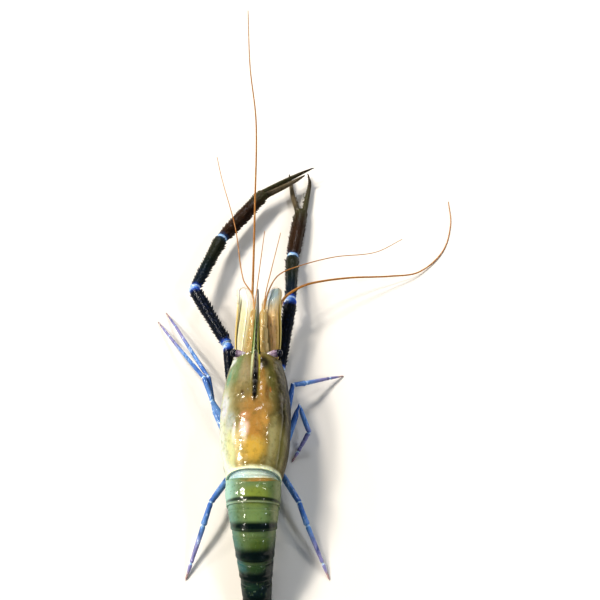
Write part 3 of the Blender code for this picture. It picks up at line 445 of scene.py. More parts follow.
def relief(tree, solid, rows, detail=2):
    """Bumps one over another: rows of (kind, size in mm, depth in mm, stretch)."""
    normal = None
    for kind, size, depth, *stretch in rows:
        height = texture(tree, kind, solid, size, stretch, {"Detail": detail})
        inputs = {"Height": height, "Distance": depth * MM, "Strength": 1.0}
        if normal:
            inputs["Normal"] = normal
        normal = add_node(tree, "Bump", inputs=inputs).outputs[0]
    return normal


print("a Mix node blends", UNDER, "and", OVER, "by", FACTOR)

# %% [markdown]
# ## Thin shell under water
# Chitin is as clear as horn, with an IOR of about 1.54, and here it is always wet. So a finish is
# pigment with fine relief, a little light let through from below, and over it a coat with the IOR of
# water, 1.33. The film has a ripple of its own, coarser than the shell's, because that is what breaks
# a lamp's reflection into the small bright shapes that say wet; it lies in patches and runs off the
# flanks. One mixed gloss for shell and water would only look like plastic.

# %% The shell finish
WET = ((CLOUD, 8, 1.3), (CLOUD, 3.4, 0.34))
DRIFT_SIZE, UNEVEN_SIZE = 9, 5  # mm: what bends the patches, and what breaks up gloss and film
FILM_TEARS = {"From Min": 0.32, "From Max": 0.4}  # where the film thins in the noise
RUNS_OFF = {"From Min": 0.26, "From Max": 0.5, "To Min": 1.0, "To Max": 0.0}  # and across the shell
CHITIN_IOR, WATER_IOR = 1.54, 1.33
GLOW_DEPTH = 2.5 * MM


def chitin(name, base, patches=(), paired=(), marks=(), mottles=(), bumps=(), wobble=0.03, roughness=0.3,
           flesh=0.2, film=1.0, film_roughness=0.11, glow="#C98A55", water=WET, shine=0.08):
    """Thin shell: pigment under it, fine relief on it and a film of water over all of it.

    Patches lie where they are given, bent by noise; paired ones lie on both sides of the middle
    line; marks are not bent. water is the relief of the film.
    """
    material, tree, shader = new_material(name)
    spot = add_node(tree, "UVMap", {"uv_map": "Shell"}).outputs[0]
    solid = add_node(tree, "TexCoord").outputs["Object"]
    drift = add_node(tree, CLOUD, inputs={"Vector": solid, "Scale": 1 / MM / DRIFT_SIZE, "Detail": 3})
    inputs = {0: drift.outputs["Color"], 1: (0.5,) * 3}
    centred = add_node(tree, "VectorMath", {"operation": "SUBTRACT"}, inputs)
    push = {0: centred.outputs[0], 1: (wobble * 2.2, wobble, 0), 2: spot}
    place = add_node(tree, "VectorMath", {"operation": "MULTIPLY_ADD"}, push).outputs[0]
    colour = paint(tree, place, linear(base), patches)
    if paired:
        folded = add_node(tree, "VectorMath", {"operation": "ABSOLUTE"}, {0: place}).outputs[0]
        colour = paint(tree, folded, colour, paired)
    colour = mottle(tree, solid, colour, mottles)
    colour = paint(tree, spot, colour, marks)
    if isinstance(colour, bpy.types.NodeSocket):
        tree.links.new(colour, shader.inputs["Base Color"])
    if bumps:
        tree.links.new(relief(tree, solid, bumps), shader.inputs["Normal"])
    tree.links.new(relief(tree, solid, water, detail=0), shader.inputs["Coat Normal"])
    uneven = texture(tree, CLOUD, solid, UNEVEN_SIZE, (), {"Detail": 2})
    spread = {"Value": uneven, "To Min": roughness * 0.7, "To Max": roughness * 1.4}
    tree.links.new(add_node(tree, "MapRange", inputs=spread).outputs[0], shader.inputs["Roughness"])
    spread = {"Value": uneven, "To Min": 0.2 * film, "To Max": film, **FILM_TEARS}
    pooled = add_node(tree, "MapRange", inputs=spread).outputs[0]
    across = add_node(tree, "SeparateXYZ", inputs={0: spot}).outputs[0]
    across = add_node(tree, "Math", {"operation": "ABSOLUTE"}, {0: across}).outputs[0]
    run_off = add_node(tree, "MapRange", inputs={"Value": across, **RUNS_OFF}).outputs[0]
    wet = add_node(tree, "Math", {"operation": "MULTIPLY"}, {0: pooled, 1: run_off}).outputs[0]
    tree.links.new(wet, shader.inputs["Coat Weight"])
    shader.inputs["IOR"].default_value = CHITIN_IOR
    shader.inputs["Specular IOR Level"].default_value = shine
    shader.inputs["Coat IOR"].default_value = WATER_IOR
    shader.inputs["Coat Roughness"].default_value = film_roughness
    shader.inputs["Subsurface Weight"].default_value = flesh
    shader.inputs["Subsurface Radius"].default_value = linear(glow)[:3]
    shader.inputs["Subsurface Scale"].default_value = GLOW_DEPTH
    print("finish:", name)
    return material


# %% [markdown]
# ## Finishes of the body
# The carapace shows the organs through it: golden and amber over the back, grey-green towards the
# front. It is pale on the left flank and dark olive on the right one, partly its own colour and partly
# painted light and painted shade, as if lit from the left; pinkish white streaks on the left of the
# back are painted sheen. The ellipses are listed from below to above. Pores of about 0.15 mm are drawn
# at 0.9 mm, and the finest grain at 0.5 mm, to show.

# %% Shell finishes
PORES = ((CELLS, 0.9, 0.035), (CLOUD, 0.5, 0.03), (CLOUD, 4, 0.12))
STREAKS = ((CLOUD, 1.3, 0.05, ALONG), (CLOUD, 0.5, 0.03), (CLOUD, 4, 0.12))

carapace_shell = chitin(
    "wet carapace chitin", "#776A3A",
    patches=(
        # the left flank, pale and greenish, and the darker right one: partly their own colour, partly painted
        # light on the left and painted shade on the right
        ("#B4B797", -0.44, 0.35, 0.26, 0.7, 0.95), ("#D8E2D0", -0.52, 0.14, 0.22, 0.4, 0.95),
        ("#66794E", -0.3, 0.88, 0.22, 0.24, 0.95), ("#578C6C", -0.36, 0.8, 0.06, 0.12, 0.75),
        ("#BFC3C8", -0.38, 0.53, 0.1, 0.14, 0.95), ("#6E8058", -0.21, 0.83, 0.09, 0.13, 0.7),
        ("#CBD3B4", -0.56, 0.75, 0.1, 0.3, 0.75), ("#C8CBB0", -0.85, 0.5, 0.2, 0.8, 0.9),
        ("#302B10", 0.34, 0.68, 0.15, 0.56, 0.92), ("#120E05", 0.6, 0.62, 0.31, 0.8, 0.98),
        ("#2A2416", 0.85, 0.5, 0.2, 0.8, 0.9), ("#DDE6D8", -0.36, 0, 0.16, 0.08, 0.9),
        ("#D5DDD6", -0.42, 0.97, 0.14, 0.06, 0.8), ("#665C54", 0.32, 0.56, 0.05, 0.07, 0.6),
        # tan and olive behind the rostrum
        ("#8C8060", -0.12, 0.8, 0.1, 0.2, 0.9), ("#7A6C42", -0.13, 0.6, 0.12, 0.14, 0.85),
        ("#4A3612", -0.115, 0.61, 0.028, 0.034, 0.95), ("#8E6C30", 0.07, 0.8, 0.05, 0.26, 0.95),
        ("#A07A3A", 0.08, 0.64, 0.05, 0.12, 0.85), ("#4E4D1C", 0.19, 0.78, 0.06, 0.18, 0.85),
        ("#1E1704", 0.11, 0.9, 0.1, 0.08, 0.97), ("#6A450F", 0.13, 0.61, 0.03, 0.09, 0.9),
        ("#A8642A", 0.17, 0.64, 0.014, 0.03, 0.8),
        # amber and gold over the organs of the back
        ("#9C7438", 0.02, 0.48, 0.2, 0.13, 0.85), ("#C08060", -0.08, 0.4, 0.08, 0.05, 0.6),
        ("#A97C3A", 0.03, 0.3, 0.14, 0.16, 0.9), ("#BC9048", 0.11, 0.37, 0.05, 0.09, 0.8),
        # pinkish white streaks on the left of the back: painted sheen of the wet film over a pink patch
        ("#EDCBBC", -0.09, 0.3, 0.065, 0.08, 0.92), ("#F3E4CC", -0.085, 0.23, 0.035, 0.09, 0.85),
        ("#E9DFE0", -0.21, 0.27, 0.035, 0.13, 0.8), ("#C39F44", -0.01, 0.14, 0.2, 0.12, 0.95),
        ("#A8A070", 0.22, 0.2, 0.08, 0.24, 0.95), ("#A0945A", 0.3, 0.17, 0.08, 0.26, 0.9),
        ("#7A7440", 0.37, 0.15, 0.1, 0.24, 0.9), ("#A4ACA6", -0.27, 0.37, 0.08, 0.12, 0.85),
        # pale lime and cream low on the left: partly painted light, and the cream one a painted sheen
        ("#CDD09A", -0.27, 0.16, 0.1, 0.2, 0.85), ("#D9C48A", -0.16, 0.15, 0.06, 0.2, 0.8),
    ),
    paired=(("#EDF2CA", 0.2, -0.005, 1.2, 0.036, 0.95),),
    mottles=(
        ("#57562A", 7, 0.4, 0.52), ("#4A4820", 3, 0.22, 0.52),
        ("#B4A878", 3.4, 0.18, 0.5, (1, 0.6, 1)),
    ),
    marks=(
        ("#B9C49A", -0.036, 0.98, 0.018, 0.28, 0.9), ("#CDBE4A", 0.042, 0.98, 0.018, 0.28, 0.95),
        ("#070402", 0.003, 0.74, 0.036, 0.17, 1), ("#070402", 0.003, 0.95, 0.019, 0.24, 1),
        ("#070402", 0.002, 0.6, 0.026, 0.1, 1), ("#4A2A0C", 0.028, 0.84, 0.012, 0.1, 0.7),
    ),
    bumps=PORES, roughness=0.34, flesh=0.22,
)

# %% [markdown]
# ## Finishes of the tail and the underside
# The tail plates are aqua on the left and olive in the middle. A teal-black band follows the hind
# edge of each, broader further back, so a loop lists the six. Skin at the waist is bluish white with
# fine folds across; the breast plates are pale, with dark seams.

# %% Tail and belly finishes
RINGS = 6
# the pale line behind the first ring's dark band is partly its pale lip and partly a painted highlight
bands = [("#A9B59A", 0, 1 / RINGS + 0.002, 0.5, 0.008, 0.45)]
edge_spots = []
for number in range(1, RINGS + 1):
    width = 0.01 + 0.013 * min(number, 3)
    middle = number / RINGS - 0.4 * width - 0.01 / number**2
    bands.append(("#021311", 0.06, middle, 0.84, width, 0.92 if number == 1 else 1))
    edge_spots.append(("#D8B48E", 0.78, number / RINGS - 0.05, 0.09, 0.035, 0.3 + 0.08 * number))
tail_shell = chitin(
    "wet tail plate chitin", "#62754C",
    patches=(
        # aqua on the left, olive along the middle, blue-green to black towards the fan
        ("#95BBAE", -0.5, 0.08, 0.34, 0.2, 0.95), ("#608678", -0.5, 0.28, 0.34, 0.14, 0.95),
        ("#3D6A60", -0.5, 0.44, 0.36, 0.12, 0.95), ("#7A8738", 0.06, 0.12, 0.26, 0.1, 0.9),
        ("#738A54", 0.08, 0.28, 0.24, 0.1, 0.9), ("#4E6224", 0.1, 0.44, 0.24, 0.09, 0.9),
        ("#868C60", 0.45, 0.16, 0.2, 0.28, 0.85), ("#9A7434", 0.12, 0.004, 0.3, 0.01, 0.9),
        ("#3E4A30", 0.5, 0.45, 0.26, 0.1, 0.8), ("#0A1E22", 0, 0.88, 2.4, 0.46, 0.98),
        ("#050D16", 0.42, 0.62, 0.36, 0.16, 0.9), ("#245A5C", -0.36, 0.57, 0.26, 0.07, 0.85),
        ("#2E4826", 0.04, 0.57, 0.2, 0.04, 0.8), ("#2A4C58", -0.4, 0.5, 0.2, 0.05, 0.8),
        ("#1E3A26", -0.1, 0.72, 0.2, 0.035, 0.7),
    ),
    paired=edge_spots,
    mottles=(("#3E5426", 2.4, 0.45, 0.53), ("#A9BC98", 1.6, 0.35, 0.6, (1, 0.5, 1))),
    marks=bands, bumps=PORES, wobble=0.012, roughness=0.32, flesh=0.2,
)
rostrum_shell = chitin(
    "wet rostrum chitin", "#46581E",
    patches=(("#35501A", 0, 0.4, 0.6, 0.25, 0.8), ("#8E8688", 0, 0.95, 1, 0.5, 0.8)),
    mottles=(("#243012", 1.5, 0.5, 0.55, ALONG),),
    marks=(
        ("#15180A", 0, 0.2, 0.1, 0.6, 0.85), ("#D2C44E", 0.36, 0.1, 0.07, 0.5, 0.9),
        ("#AEBB86", -0.36, 0.1, 0.07, 0.6, 0.8), ("#1E1E0C", 0.52, 0.1, 0.1, 0.6, 0.9),
    ),
    bumps=STREAKS, wobble=0.02,
)
membrane = chitin(
    "arthrodial membrane", "#AFC1B3",
    patches=(("#D9CFA4", 0.3, 0.85, 0.4, 0.3, 0.8), ("#A9C6CE", -0.3, 0.5, 0.3, 0.6, 0.8),
             ("#BFCDBC", 0.05, 0.5, 0.3, 0.16, 0.8), ("#8FA39A", 0.1, 0.1, 0.6, 0.12, 0.8)),
    mottles=(("#E9EFEA", 1.5, 0.5, 0.5, (1, 2.5, 1)), ("#9E9A80", 2.6, 0.3, 0.6)),
    bumps=((CLOUD, 2.2, 0.25, (1, 2.5, 1)), (CLOUD, 0.6, 0.06)), roughness=0.35, flesh=0.4, glow="#D8A890",
)
BREAST_REAR, BREAST_LENGTH = -35, 65
BREAST_SEAMS = (-26, -16, -6, 4, 13, 22)  # between the plates, on Y
seams = [round((y - BREAST_REAR) / BREAST_LENGTH, 3) for y in BREAST_SEAMS]
breast_plate = chitin(
    "breast plate chitin", "#C3C6A8",
    paired=(("#8FA6B8", 0.5, 0.5, 0.3, 1, 0.5),),
    mottles=(("#8E9A86", 3, 0.5, 0.55), ("#E3DFC4", 1.2, 0.4, 0.55)),
    marks=[("#5C6A5E", 0, seam, 3, 0.013, 0.8) for seam in seams],
    bumps=PORES, flesh=0.3,
)

# %% [markdown]
# ## Finishes of the head
# The eye is a dome of tiny facets, black and mirror bright, on a lavender stalk. The blades beside
# the feelers are cream and nearly clear towards their tips, with an olive outer rib. The facets are
# about 0.05 mm across and are drawn at 0.22 mm.

# %% Head finishes
# the slate-blue mottling on the black dome is partly a painted reflection
cornea_black = chitin(
    "faceted cornea", "#0C0D18", mottles=(("#2A3048", 1.6, 0.7, 0.5),),
    bumps=((CELLS, 0.22, 0.012),), roughness=0.12, flesh=0.0, film_roughness=0.02,
)
stalk_skin = chitin(
    "eyestalk skin", "#A893A4",
    patches=(("#E4DCE0", 0.2, 0.55, 0.5, 0.25, 0.8), ("#4A3A52", 0, 1, 2, 0.16, 0.9),
             ("#6B5A4A", 0, 0, 2, 0.3, 0.8)),
    mottles=(("#54405A", 1.2, 0.7, 0.5), ("#EFE6EA", 1, 0.6, 0.56)),
    bumps=((CLOUD, 0.8, 0.08),), flesh=0.3, glow="#C890A0",
)
rib_shares = (0.02, 0.15, 0.3, 0.45, 0.6, 0.75)
scale_blade = chitin(
    "feeler scale blade", "#F8F2D2",
    patches=(
        ("#DCC888", -0.55, 0.3, 0.45, 0.5, 0.85), ("#F4EFC6", 0.3, 0.5, 0.35, 0.5, 0.8),
        ("#FAF7F0", 0, 1.02, 1.6, 0.34, 0.97), ("#D8DCD2", -0.9, 0.8, 0.4, 0.3, 0.7),
        ("#BFA658", 0.95, 0.4, 0.16, 0.6, 0.9), ("#4A3820", 0, 0, 2, 0.09, 0.85),
    ),
    mottles=(("#B98D3C", 2.4, 0.3, 0.55, ALONG), ("#FBF8DC", 2, 0.4, 0.55, (1, 0.4, 1))),
    marks=[("#4A4A10", 0.84 - 0.26 * share, share, 0.075, 0.14, 0.95) for share in rib_shares],
    bumps=((CLOUD, 1.1, 0.10, ALONG), (CLOUD, 0.5, 0.02)), flesh=0.35, glow="#D8C080",
)
tan_scale_blade = chitin(
    "feeler scale blade, tan", "#CDB27C",
    patches=(
        ("#DDB982", 0, 0.4, 0.45, 0.4, 0.9), ("#B99C5C", 0.5, 0.3, 0.14, 0.5, 0.8),
        ("#7F7A58", -0.6, 0.4, 0.3, 0.5, 0.7), ("#7F9396", 0, 1, 1.4, 0.36, 0.97),
        ("#A9B7C4", -0.6, 0.92, 0.4, 0.16, 0.8), ("#6E600E", 0.86, 0.4, 0.16, 0.6, 0.95),
        ("#3A2A16", 0, 0, 2, 0.1, 0.85),
    ),
    mottles=(("#7E5A26", 2.4, 0.5, 0.54, (1, 0.4, 1)), ("#DCC894", 1.6, 0.4, 0.6, ALONG)),
    marks=(("#2C2A0C", 0.78, 0.4, 0.09, 0.55, 0.95), ("#D9CF8E", 1, 0.42, 0.06, 0.5, 0.9),
           ("#2F3E40", -0.12, 0.92, 0.03, 0.1, 0.8)),
    bumps=((CLOUD, 1.1, 0.10, ALONG), (CLOUD, 0.5, 0.02)), flesh=0.35, glow="#D8B070",
)
feeler_base = chitin(
    "feeler base chitin", "#B0965E",
    patches=(("#E2CC96", -0.4, 0.5, 0.3, 0.6, 0.6), ("#8A7440", 0.5, 0.4, 0.35, 0.6, 0.7),
             ("#3A2A14", 0, 0, 3, 0.14, 0.85)),
    mottles=(("#7E5A28", 2, 0.6, 0.52, ALONG), ("#E0CFA0", 1.2, 0.4, 0.6, ALONG),
             ("#5E5426", 0.7, 0.5, 0.6)),
    bumps=STREAKS, flesh=0.3, glow="#D8A080",
)
feeler_lash = chitin(
    "ringed feeler", "#AA7638",
    patches=(("#A87238", 0, 1, 3, 0.6, 0.8), ("#C0925A", 0, 0, 3, 0.16, 0.8)),
    mottles=(("#D9AE7C", 3, 0.5, 0.54), ("#6E3414", 1.6, 0.5, 0.58)),
    bumps=((CLOUD, 0.4, 0.03),), roughness=0.35, flesh=0.2, film=0.6,
)

# %% [markdown]
# ## Finishes of the limbs
# The great arms are the darkest part: blue-black with cobalt and blue-white skin at every joint, going
# brown and olive on the pincers, whose tips are black. The near-white patches at the joints are painted
# highlights. It is the same chitin with other pigments, so one helper makes all four finishes from
# their colours.

# %% Limb finishes
# cobalt at both ends of each length; the near-white patches are painted highlights
JOINT_ENDS = (
    ("#1F4FC4", 0, 0, 4, 0.1, 0.9), ("#2A59C9", 0, 1, 4, 0.09, 0.85),
    ("#5F9BF0", 0.2, 0.985, 0.5, 0.05, 0.8), ("#4F8AE6", -0.2, 0.03, 0.4, 0.05, 0.8),
    ("#CFE4F8", 0.4, 0.97, 0.5, 0.035, 0.9), ("#E4EFFA", -0.45, 0.03, 0.45, 0.035, 0.9),
    ("#B4D2F4", 0.6, 0.06, 0.3, 0.03, 0.8),
)
ROUGH_SKIN = ((CLOUD, 1.6, 0.35), (CLOUD, 0.5, 0.08))


def arm_finish(name, base, spot, light, ends):
    """Dark arm shell; the far side of each joint is bluer."""
    return chitin(
        name, base, patches=ends,
        mottles=((spot, 2.4, 0.7, 0.5), (light, 0.9, 0.45, 0.62)), bumps=ROUGH_SKIN, roughness=0.4,
        flesh=0.0, wobble=0.09, film=0.4, film_roughness=0.1, water=ROUGH_SKIN, shine=0.06,
    )


arm_blue = arm_finish("blue-black arm chitin", "#040D18", "#06183A", "#1F4660", JOINT_ENDS)
arm_teal = arm_finish("teal-black arm chitin", "#08191A", "#101C0E", "#34503E", (
    JOINT_ENDS[0], ("#101E30", 0, 0.2, 4, 0.2, 0.7), ("#2B2C1A", 0, 0.75, 4, 0.3, 0.8),
    # the near-white patch at the far joint below is a painted highlight
    ("#23507E", 0, 1, 4, 0.06, 0.8), ("#D3E6F2", 0.3, 0.985, 0.6, 0.02, 0.9),
))
palm_brown = arm_finish("brown pincer chitin", "#28180A", "#3A1F0A", "#5C4C30", (
    ("#27456E", 0, 0, 4, 0.05, 0.8), ("#34220E", 0.2, 0.2, 0.6, 0.2, 0.8),
    ("#44452A", 0, 0.65, 4, 0.3, 0.8),
))
finger_grey = arm_finish("grey-brown finger chitin", "#5A4E38", "#3A3222", "#8C8068", (
    ("#6B5F48", 0, 0.5, 4, 0.3, 0.7), ("#0E0C0A", 0, 1, 4, 0.12, 1),
    ("#2E2A1C", 0, 0, 4, 0.15, 0.8),
))

# %% [markdown]
# ## Finishes of skin, legs, fan and bristles
# Skin at the joints is soft and blue-white. The walking legs are periwinkle, streaked along their
# length in dark and pale blue that is partly painted shade and painted highlight; the fan is the tail's
# olive. Bristles and down are dull, as they hold little water.

# %% Skin, leg and bristle finishes
joint_skin = chitin(
    "blue-white joint skin", "#8FB6E0", mottles=(("#E6F2FA", 1.6, 0.8, 0.48), ("#2450B4", 2, 0.7, 0.58)),
    bumps=((CLOUD, 0.8, 0.15),), roughness=0.3, flesh=0.3, glow="#8FB0D8",
)
leg_shell = chitin(
    "periwinkle leg chitin", "#6690CA",
    patches=(("#6E8FC0", 0, 0, 4, 0.25, 0.7), ("#2F5CA8", 0, 0.45, 4, 0.14, 0.7),
             ("#8C82AE", 0, 0.85, 4, 0.2, 0.85), ("#B08E84", 0, 1, 4, 0.07, 0.9)),
    # dark blue streaks are painted shade and pale blue ones painted highlights, along the leg
    mottles=(("#1C3E70", 2.6, 0.7, 0.54, ALONG), ("#D0E2F8", 1.4, 0.7, 0.56, ALONG),
             ("#0E1F40", 0.8, 0.5, 0.62)),
    bumps=((CLOUD, 0.9, 0.06), (CLOUD, 0.4, 0.03)), flesh=0.15, glow="#A8A8C8",
)
jaw_shell = chitin(
    "jaw leg chitin", "#B9B48C",
    patches=(("#8A7A4A", 0, 1, 4, 0.3, 0.7),),
    mottles=(("#7E7A50", 1.8, 0.5, 0.55), ("#DCD8B8", 1.2, 0.4, 0.58)), bumps=PORES, flesh=0.3,
)
fan_shell = chitin(
    "tail fan chitin", "#5E7448",
    patches=(("#B9764A", 0, 1, 3, 0.06, 0.8), ("#2C4A52", 0, 0.86, 3, 0.14, 0.8),
             ("#30525A", 0, 0, 3, 0.25, 0.7)),
    paired=(("#2B4A50", 0.95, 0.6, 0.2, 0.8, 0.7), ("#8A9A5C", 0, 0.5, 0.12, 0.5, 0.6)),
    mottles=(("#33492C", 1.6, 0.5, 0.55, ALONG), ("#A5B48A", 1, 0.35, 0.6, ALONG),
             ("#1F2C1C", 0.6, 0.4, 0.62)),
    bumps=STREAKS, flesh=0.25,
)
paddle_skin = chitin(
    "swimmeret skin", "#A9AE86",
    patches=(("#C7A698", 0, 0.9, 3, 0.3, 0.6), ("#7A8AA8", 0, 0, 3, 0.3, 0.6)),
    mottles=(("#7C8A5E", 1.6, 0.5, 0.54, ALONG), ("#D8D2B4", 1.2, 0.4, 0.58, ALONG)),
    bumps=((CLOUD, 0.8, 0.05, ALONG),), flesh=0.4,
)
bristle = chitin(
    "fringe bristle", "#B59A6C", mottles=(("#7A6040", 4, 0.6, 0.5),), roughness=0.5, flesh=0.1, film=0.3,
)
velvet = chitin(
    "finger down", "#6E6250", mottles=(("#3E362A", 3, 0.6, 0.5),), roughness=0.7, flesh=0, film=0.2,
)

# %% [markdown]
# ## The section of a body plate
# Carapace and tail plates share one section: an arch over the back, a side that curves in to a thin
# lower edge, the inside of that skirt, and the belly between the two skirts. The ring is listed once
# for the right side and mirrored, so both halves are alike to the last point.

# %% Arched sections
def arch(half_width, waist, depth, edge, wall, belly, above=44, below=20):
    """Half a section as (across, height below the crown, place on the shell map)."""
    half = []
    for step in range(above):
        turn = math.pi / 2 * step / above
        across = half_width * math.sin(turn) ** 0.92
        half.append((across, waist * (math.cos(turn) ** 0.92 - 1), 0.6 * step / above))
    for step in range(below + 1):
        turn = math.pi / 2 * step / below
        across = edge + (half_width - edge) * max(math.cos(turn), 0) ** 1.3
        half.append((across, -waist - (depth - waist) * math.sin(turn), 0.6 + 0.32 * step / below))
    for share, drop in ((0.3, 0.16), (0.7, 0.14), (1.0, -0.2)):
        half.append((edge - wall * share, -depth - wall * drop, 0.92 + 0.03 * share))
    for step in range(1, 6):
        share = step / 5
        half.append((edge - wall * (1 + share), -depth + (depth - belly) * smooth(share), 0.95 + 0.05 * share))
    for step in range(1, 5):
        half.append(((edge - 2 * wall) * (1 - step / 5), -belly, 1.0))
    return half


def mirrored(half, closed=False):
    """The whole ring: down the right side and back up the left one.

    It is closed where the half already ends on the middle line.
    """
    return half + [(-x, z, -u) for x, z, u in reversed(half[1:-1] if closed else half[1:])]


def across_map(half, closed=False):
    return [u for _, _, u in mirrored(half, closed)] + [0.0]


print("points in a ring:", len(mirrored(arch(20, 18, 36, 13, 1.4, 30))))

# %% [markdown]
# ## The carapace
# One shield covers head and breast. It could be sculpted by hand; rings from a table of sizes are
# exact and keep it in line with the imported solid. On top of them go the toothed ridge that runs on
# into the rostrum, the grooves, the notch round each eye, the spines behind the feelers and a lip.

# %% Carapace sizes
CARAPACE_ROWS = (
    # place on Y, half width, crown, lower edge, height of the ridge, hollow between the skirts
    (-38, 15, 43.2, 15, 0, 0.6), (-33, 16.6, 44, 11, 0, 3.5), (-22, 19.5, 44.8, 8.6, 0, 6.5),
    (-8, 20.9, 45, 8, 0, 7), (6, 21.3, 44.2, 8, 0.6, 7), (18, 20.6, 43, 8.8, 2, 6.5),
    (28, 19.2, 42, 10.2, 2.8, 4.6), (36, 17.4, 40.9, 11.8, 3.5, 2.2), (41, 15.9, 39.9, 13.4, 3.8, 0.6),
)
REAR, FRONT = -38.0, 41.0
BACK_HEIGHT = 44.0
TEETH_ON_BACK = (9, 17, 25, 33)
print("the shield is", FRONT - REAR, "mm long, with", len(TEETH_ON_BACK), "teeth on its back")

# %% [markdown]
# ## Grooves of the shield
# The organs mark the shell with grooves along each side and across the neck, and with low swellings
# between them. Each is a narrow hill in one depth that is taken off the shell, and fades at its ends.
# A bump texture would not change the outline.

# %% Grooves
def lag_at(z):
    """How far the side of the hind edge reaches back past its middle, in millimetres."""
    return smooth((BACK_HEIGHT - z) / 18)


def groove_depth(y, u):
    """Depth of the grooves in the shield, in millimetres, at a place on Y and on the map."""
    u = abs(u)
    heart = 0.33 - 0.05 * smooth((y + 8) / 20) + 0.002 * abs(y + 20)
    depth = 0.45 * bump(u, heart, 0.016) * smooth((14 - y) / 12) * smooth((y + 37) / 6)
    neck = -9 + 34 * (u - 0.1)
    depth += 0.38 * bump(y, neck, 1.6) * smooth((u - 0.08) / 0.1) * smooth((0.5 - u) / 0.14)
    liver = 22 - 24 * (u - 0.5)
    depth += 0.4 * bump(y, liver, 2.0) * smooth((u - 0.44) / 0.06) * smooth((0.62 - u) / 0.05)
    line = 0.68 + 0.0008 * (20 - y)
    depth += 0.3 * bump(u, line, 0.012) * smooth((y + 36) / 10)
    depth -= 0.35 * bump(u, 0.2, 0.12) * bump(y, 16, 12)
    depth -= 0.3 * bump(u, 0.16, 0.14) * bump(y, -20, 14)
    return depth + 0.4 * bump(u, 0.045, 0.016) * smooth((y - 2) / 10)


print("groove over the heart, in mm:", round(groove_depth(-20, 0.28), 2))

# %% [markdown]
# ## One ring of the shield
# Each ring takes its sizes from the table, then the grooves, the ridge and the teeth. The front edge
# is drawn back round the eye and low down, where the limbs come out. Only the last rings follow that
# edge, and each by its share, so no two rings cross.

# %% A ring of the shield
TOOTH_RISE = 1.25


def shield_ring(y, inset=0.0, shift=0.0, margin=0.0, lag=0.0):
    """One ring of the shield; margin shapes the front edge and lag the hind one."""
    half_width, crown, lower, ridge, hollow = row_at(CARAPACE_ROWS, y)
    depth = crown - lower - inset
    edge = 0.66 * half_width
    half = arch(half_width - inset, 0.52 * depth, depth, edge - inset, 1.4, depth - hollow)
    saw = 0.0
    for tooth in TEETH_ON_BACK:
        ahead = y - tooth
        if -5 < ahead < 1.2:
            saw += TOOTH_RISE * smooth((ahead + 5.0) / 5.0) * smooth((1.2 - ahead) / 1.0)
    places = []
    for x, z, u in mirrored(half):
        z += crown - inset
        away = Vector((x, 0, z - (crown - 0.5 * depth))).normalized()
        dent = 0.0 if inset else groove_depth(y, u)
        x, z = x - away.x * dent, z - away.z * dent
        if abs(u) < 0.5:
            crest = 0.72 * bump(x, 0, 1.5) + 0.28 * bump(x, 0, 5.0)
            z += ridge * crest + (0 if inset else saw * bump(x, 0, 0.7))
        front = -1.3 * bump(z, 35.0, 3.6) * smooth((abs(x) - 4) / 4) - 7.0 * smooth((23 - z) / 10)
        front += 0.6 * bump(z, 28.8, 2.4) + 0.8 * bump(abs(x), 0, 4)
        places.append(point(x, y + shift + front * margin - lag_at(z) * lag, z))
    return places


print("points in a ring of the shield:", len(shield_ring(0)))

# %% [markdown]
# ## The shield as one net
# The rings start inside the hind edge, come out round its lip, run forward and turn in again behind
# the front edge, so both edges have the thickness of shell. The parts that turn in are soft skin.
# The spines at the side and the teeth stand in the same mesh.

# %% Carapace
SIDE_SPINES = (  # foot, height, radius, place across on the map
    ((14.9, 40.2, 28.8), 4.6, 1.1, 0.5), ((18.2, 29.5, 25.3), 3.6, 1.2, 0.58),
)
carapace = Net()
rings, along = [], []
for inset, shift in ((2.6, 5.0), (1.5, 3.0), (1.2, 1.0), (0.9, 0.3), (0.35, -0.15)):
    rings.append(shield_ring(REAR, inset, shift, lag=1.0))
    along.append(0.0)
steps = 150
for step in range(steps + 1):
    share = step / steps
    y = REAR + (FRONT - REAR) * share
    ring = shield_ring(y, margin=smooth((share - 0.7) / 0.3), lag=smooth(1 - share * 5))
    lip = 0.45 * bump(share, 0.004, 0.009) - 0.25 * bump(share, 0.035, 0.009)
    lip += 0.3 * bump(share, 1.0, 0.008) - 0.12 * bump(share, 0.975, 0.008)
    middle = sum(ring, Vector()) / len(ring)
    rings.append([place + (place - middle).normalized() * (lip * MM) for place in ring])
    along.append(share)
for inset, shift in ((0.3, 0.25), (0.8, 0.1), (1.1, -0.6), (1.4, -3.0), (1.8, -6.0)):
    rings.append(shield_ring(FRONT, inset, shift, margin=1.0))
    along.append(1.0)
plain_half = arch(15, 14, 28, 10, 1.4, 27)
carapace.skin(rings, across_map(plain_half), along)
for index in range(len(carapace.faces)):
    row_places = carapace.places[index]
    if all(v == 1.0 for _, v in row_places) or all(v == 0.0 for _, v in row_places):
        carapace.coats[index] = 1
for side, _ in SIDES:
    for (x, y, z), height, radius, u in SIDE_SPINES:
        lean, hook = Vector((side * 0.12, 1.0, 0.1)), Vector((-side * 0.06, 0, 0.08))
        spot = (side * u, (y - REAR) / (FRONT - REAR))
        spike(carapace, point(side * x, y, z), lean, height, radius, spot, 10, hook)
for y in TEETH_ON_BACK:
    _, crown, _, ridge, _ = row_at(CARAPACE_ROWS, y)
    foot, spot = point(0, y - 0.3, crown + ridge + 0.6), (0, (y - REAR) / (FRONT - REAR))
    spike(carapace, foot, Vector((0, 1, 0.35)), 1.9, 0.55, spot, 8)
build(carapace, "carapace", [carapace_shell, membrane])

# %% [markdown]
# ## The rostrum
# The blade over the eyes is thin from side to side and has teeth above and below, all leaning
# forward. Its upper and lower edges are therefore saw-tooth curves on many close rings, with a rib
# along each side that stiffens it. Teeth as separate cones would look stuck on.

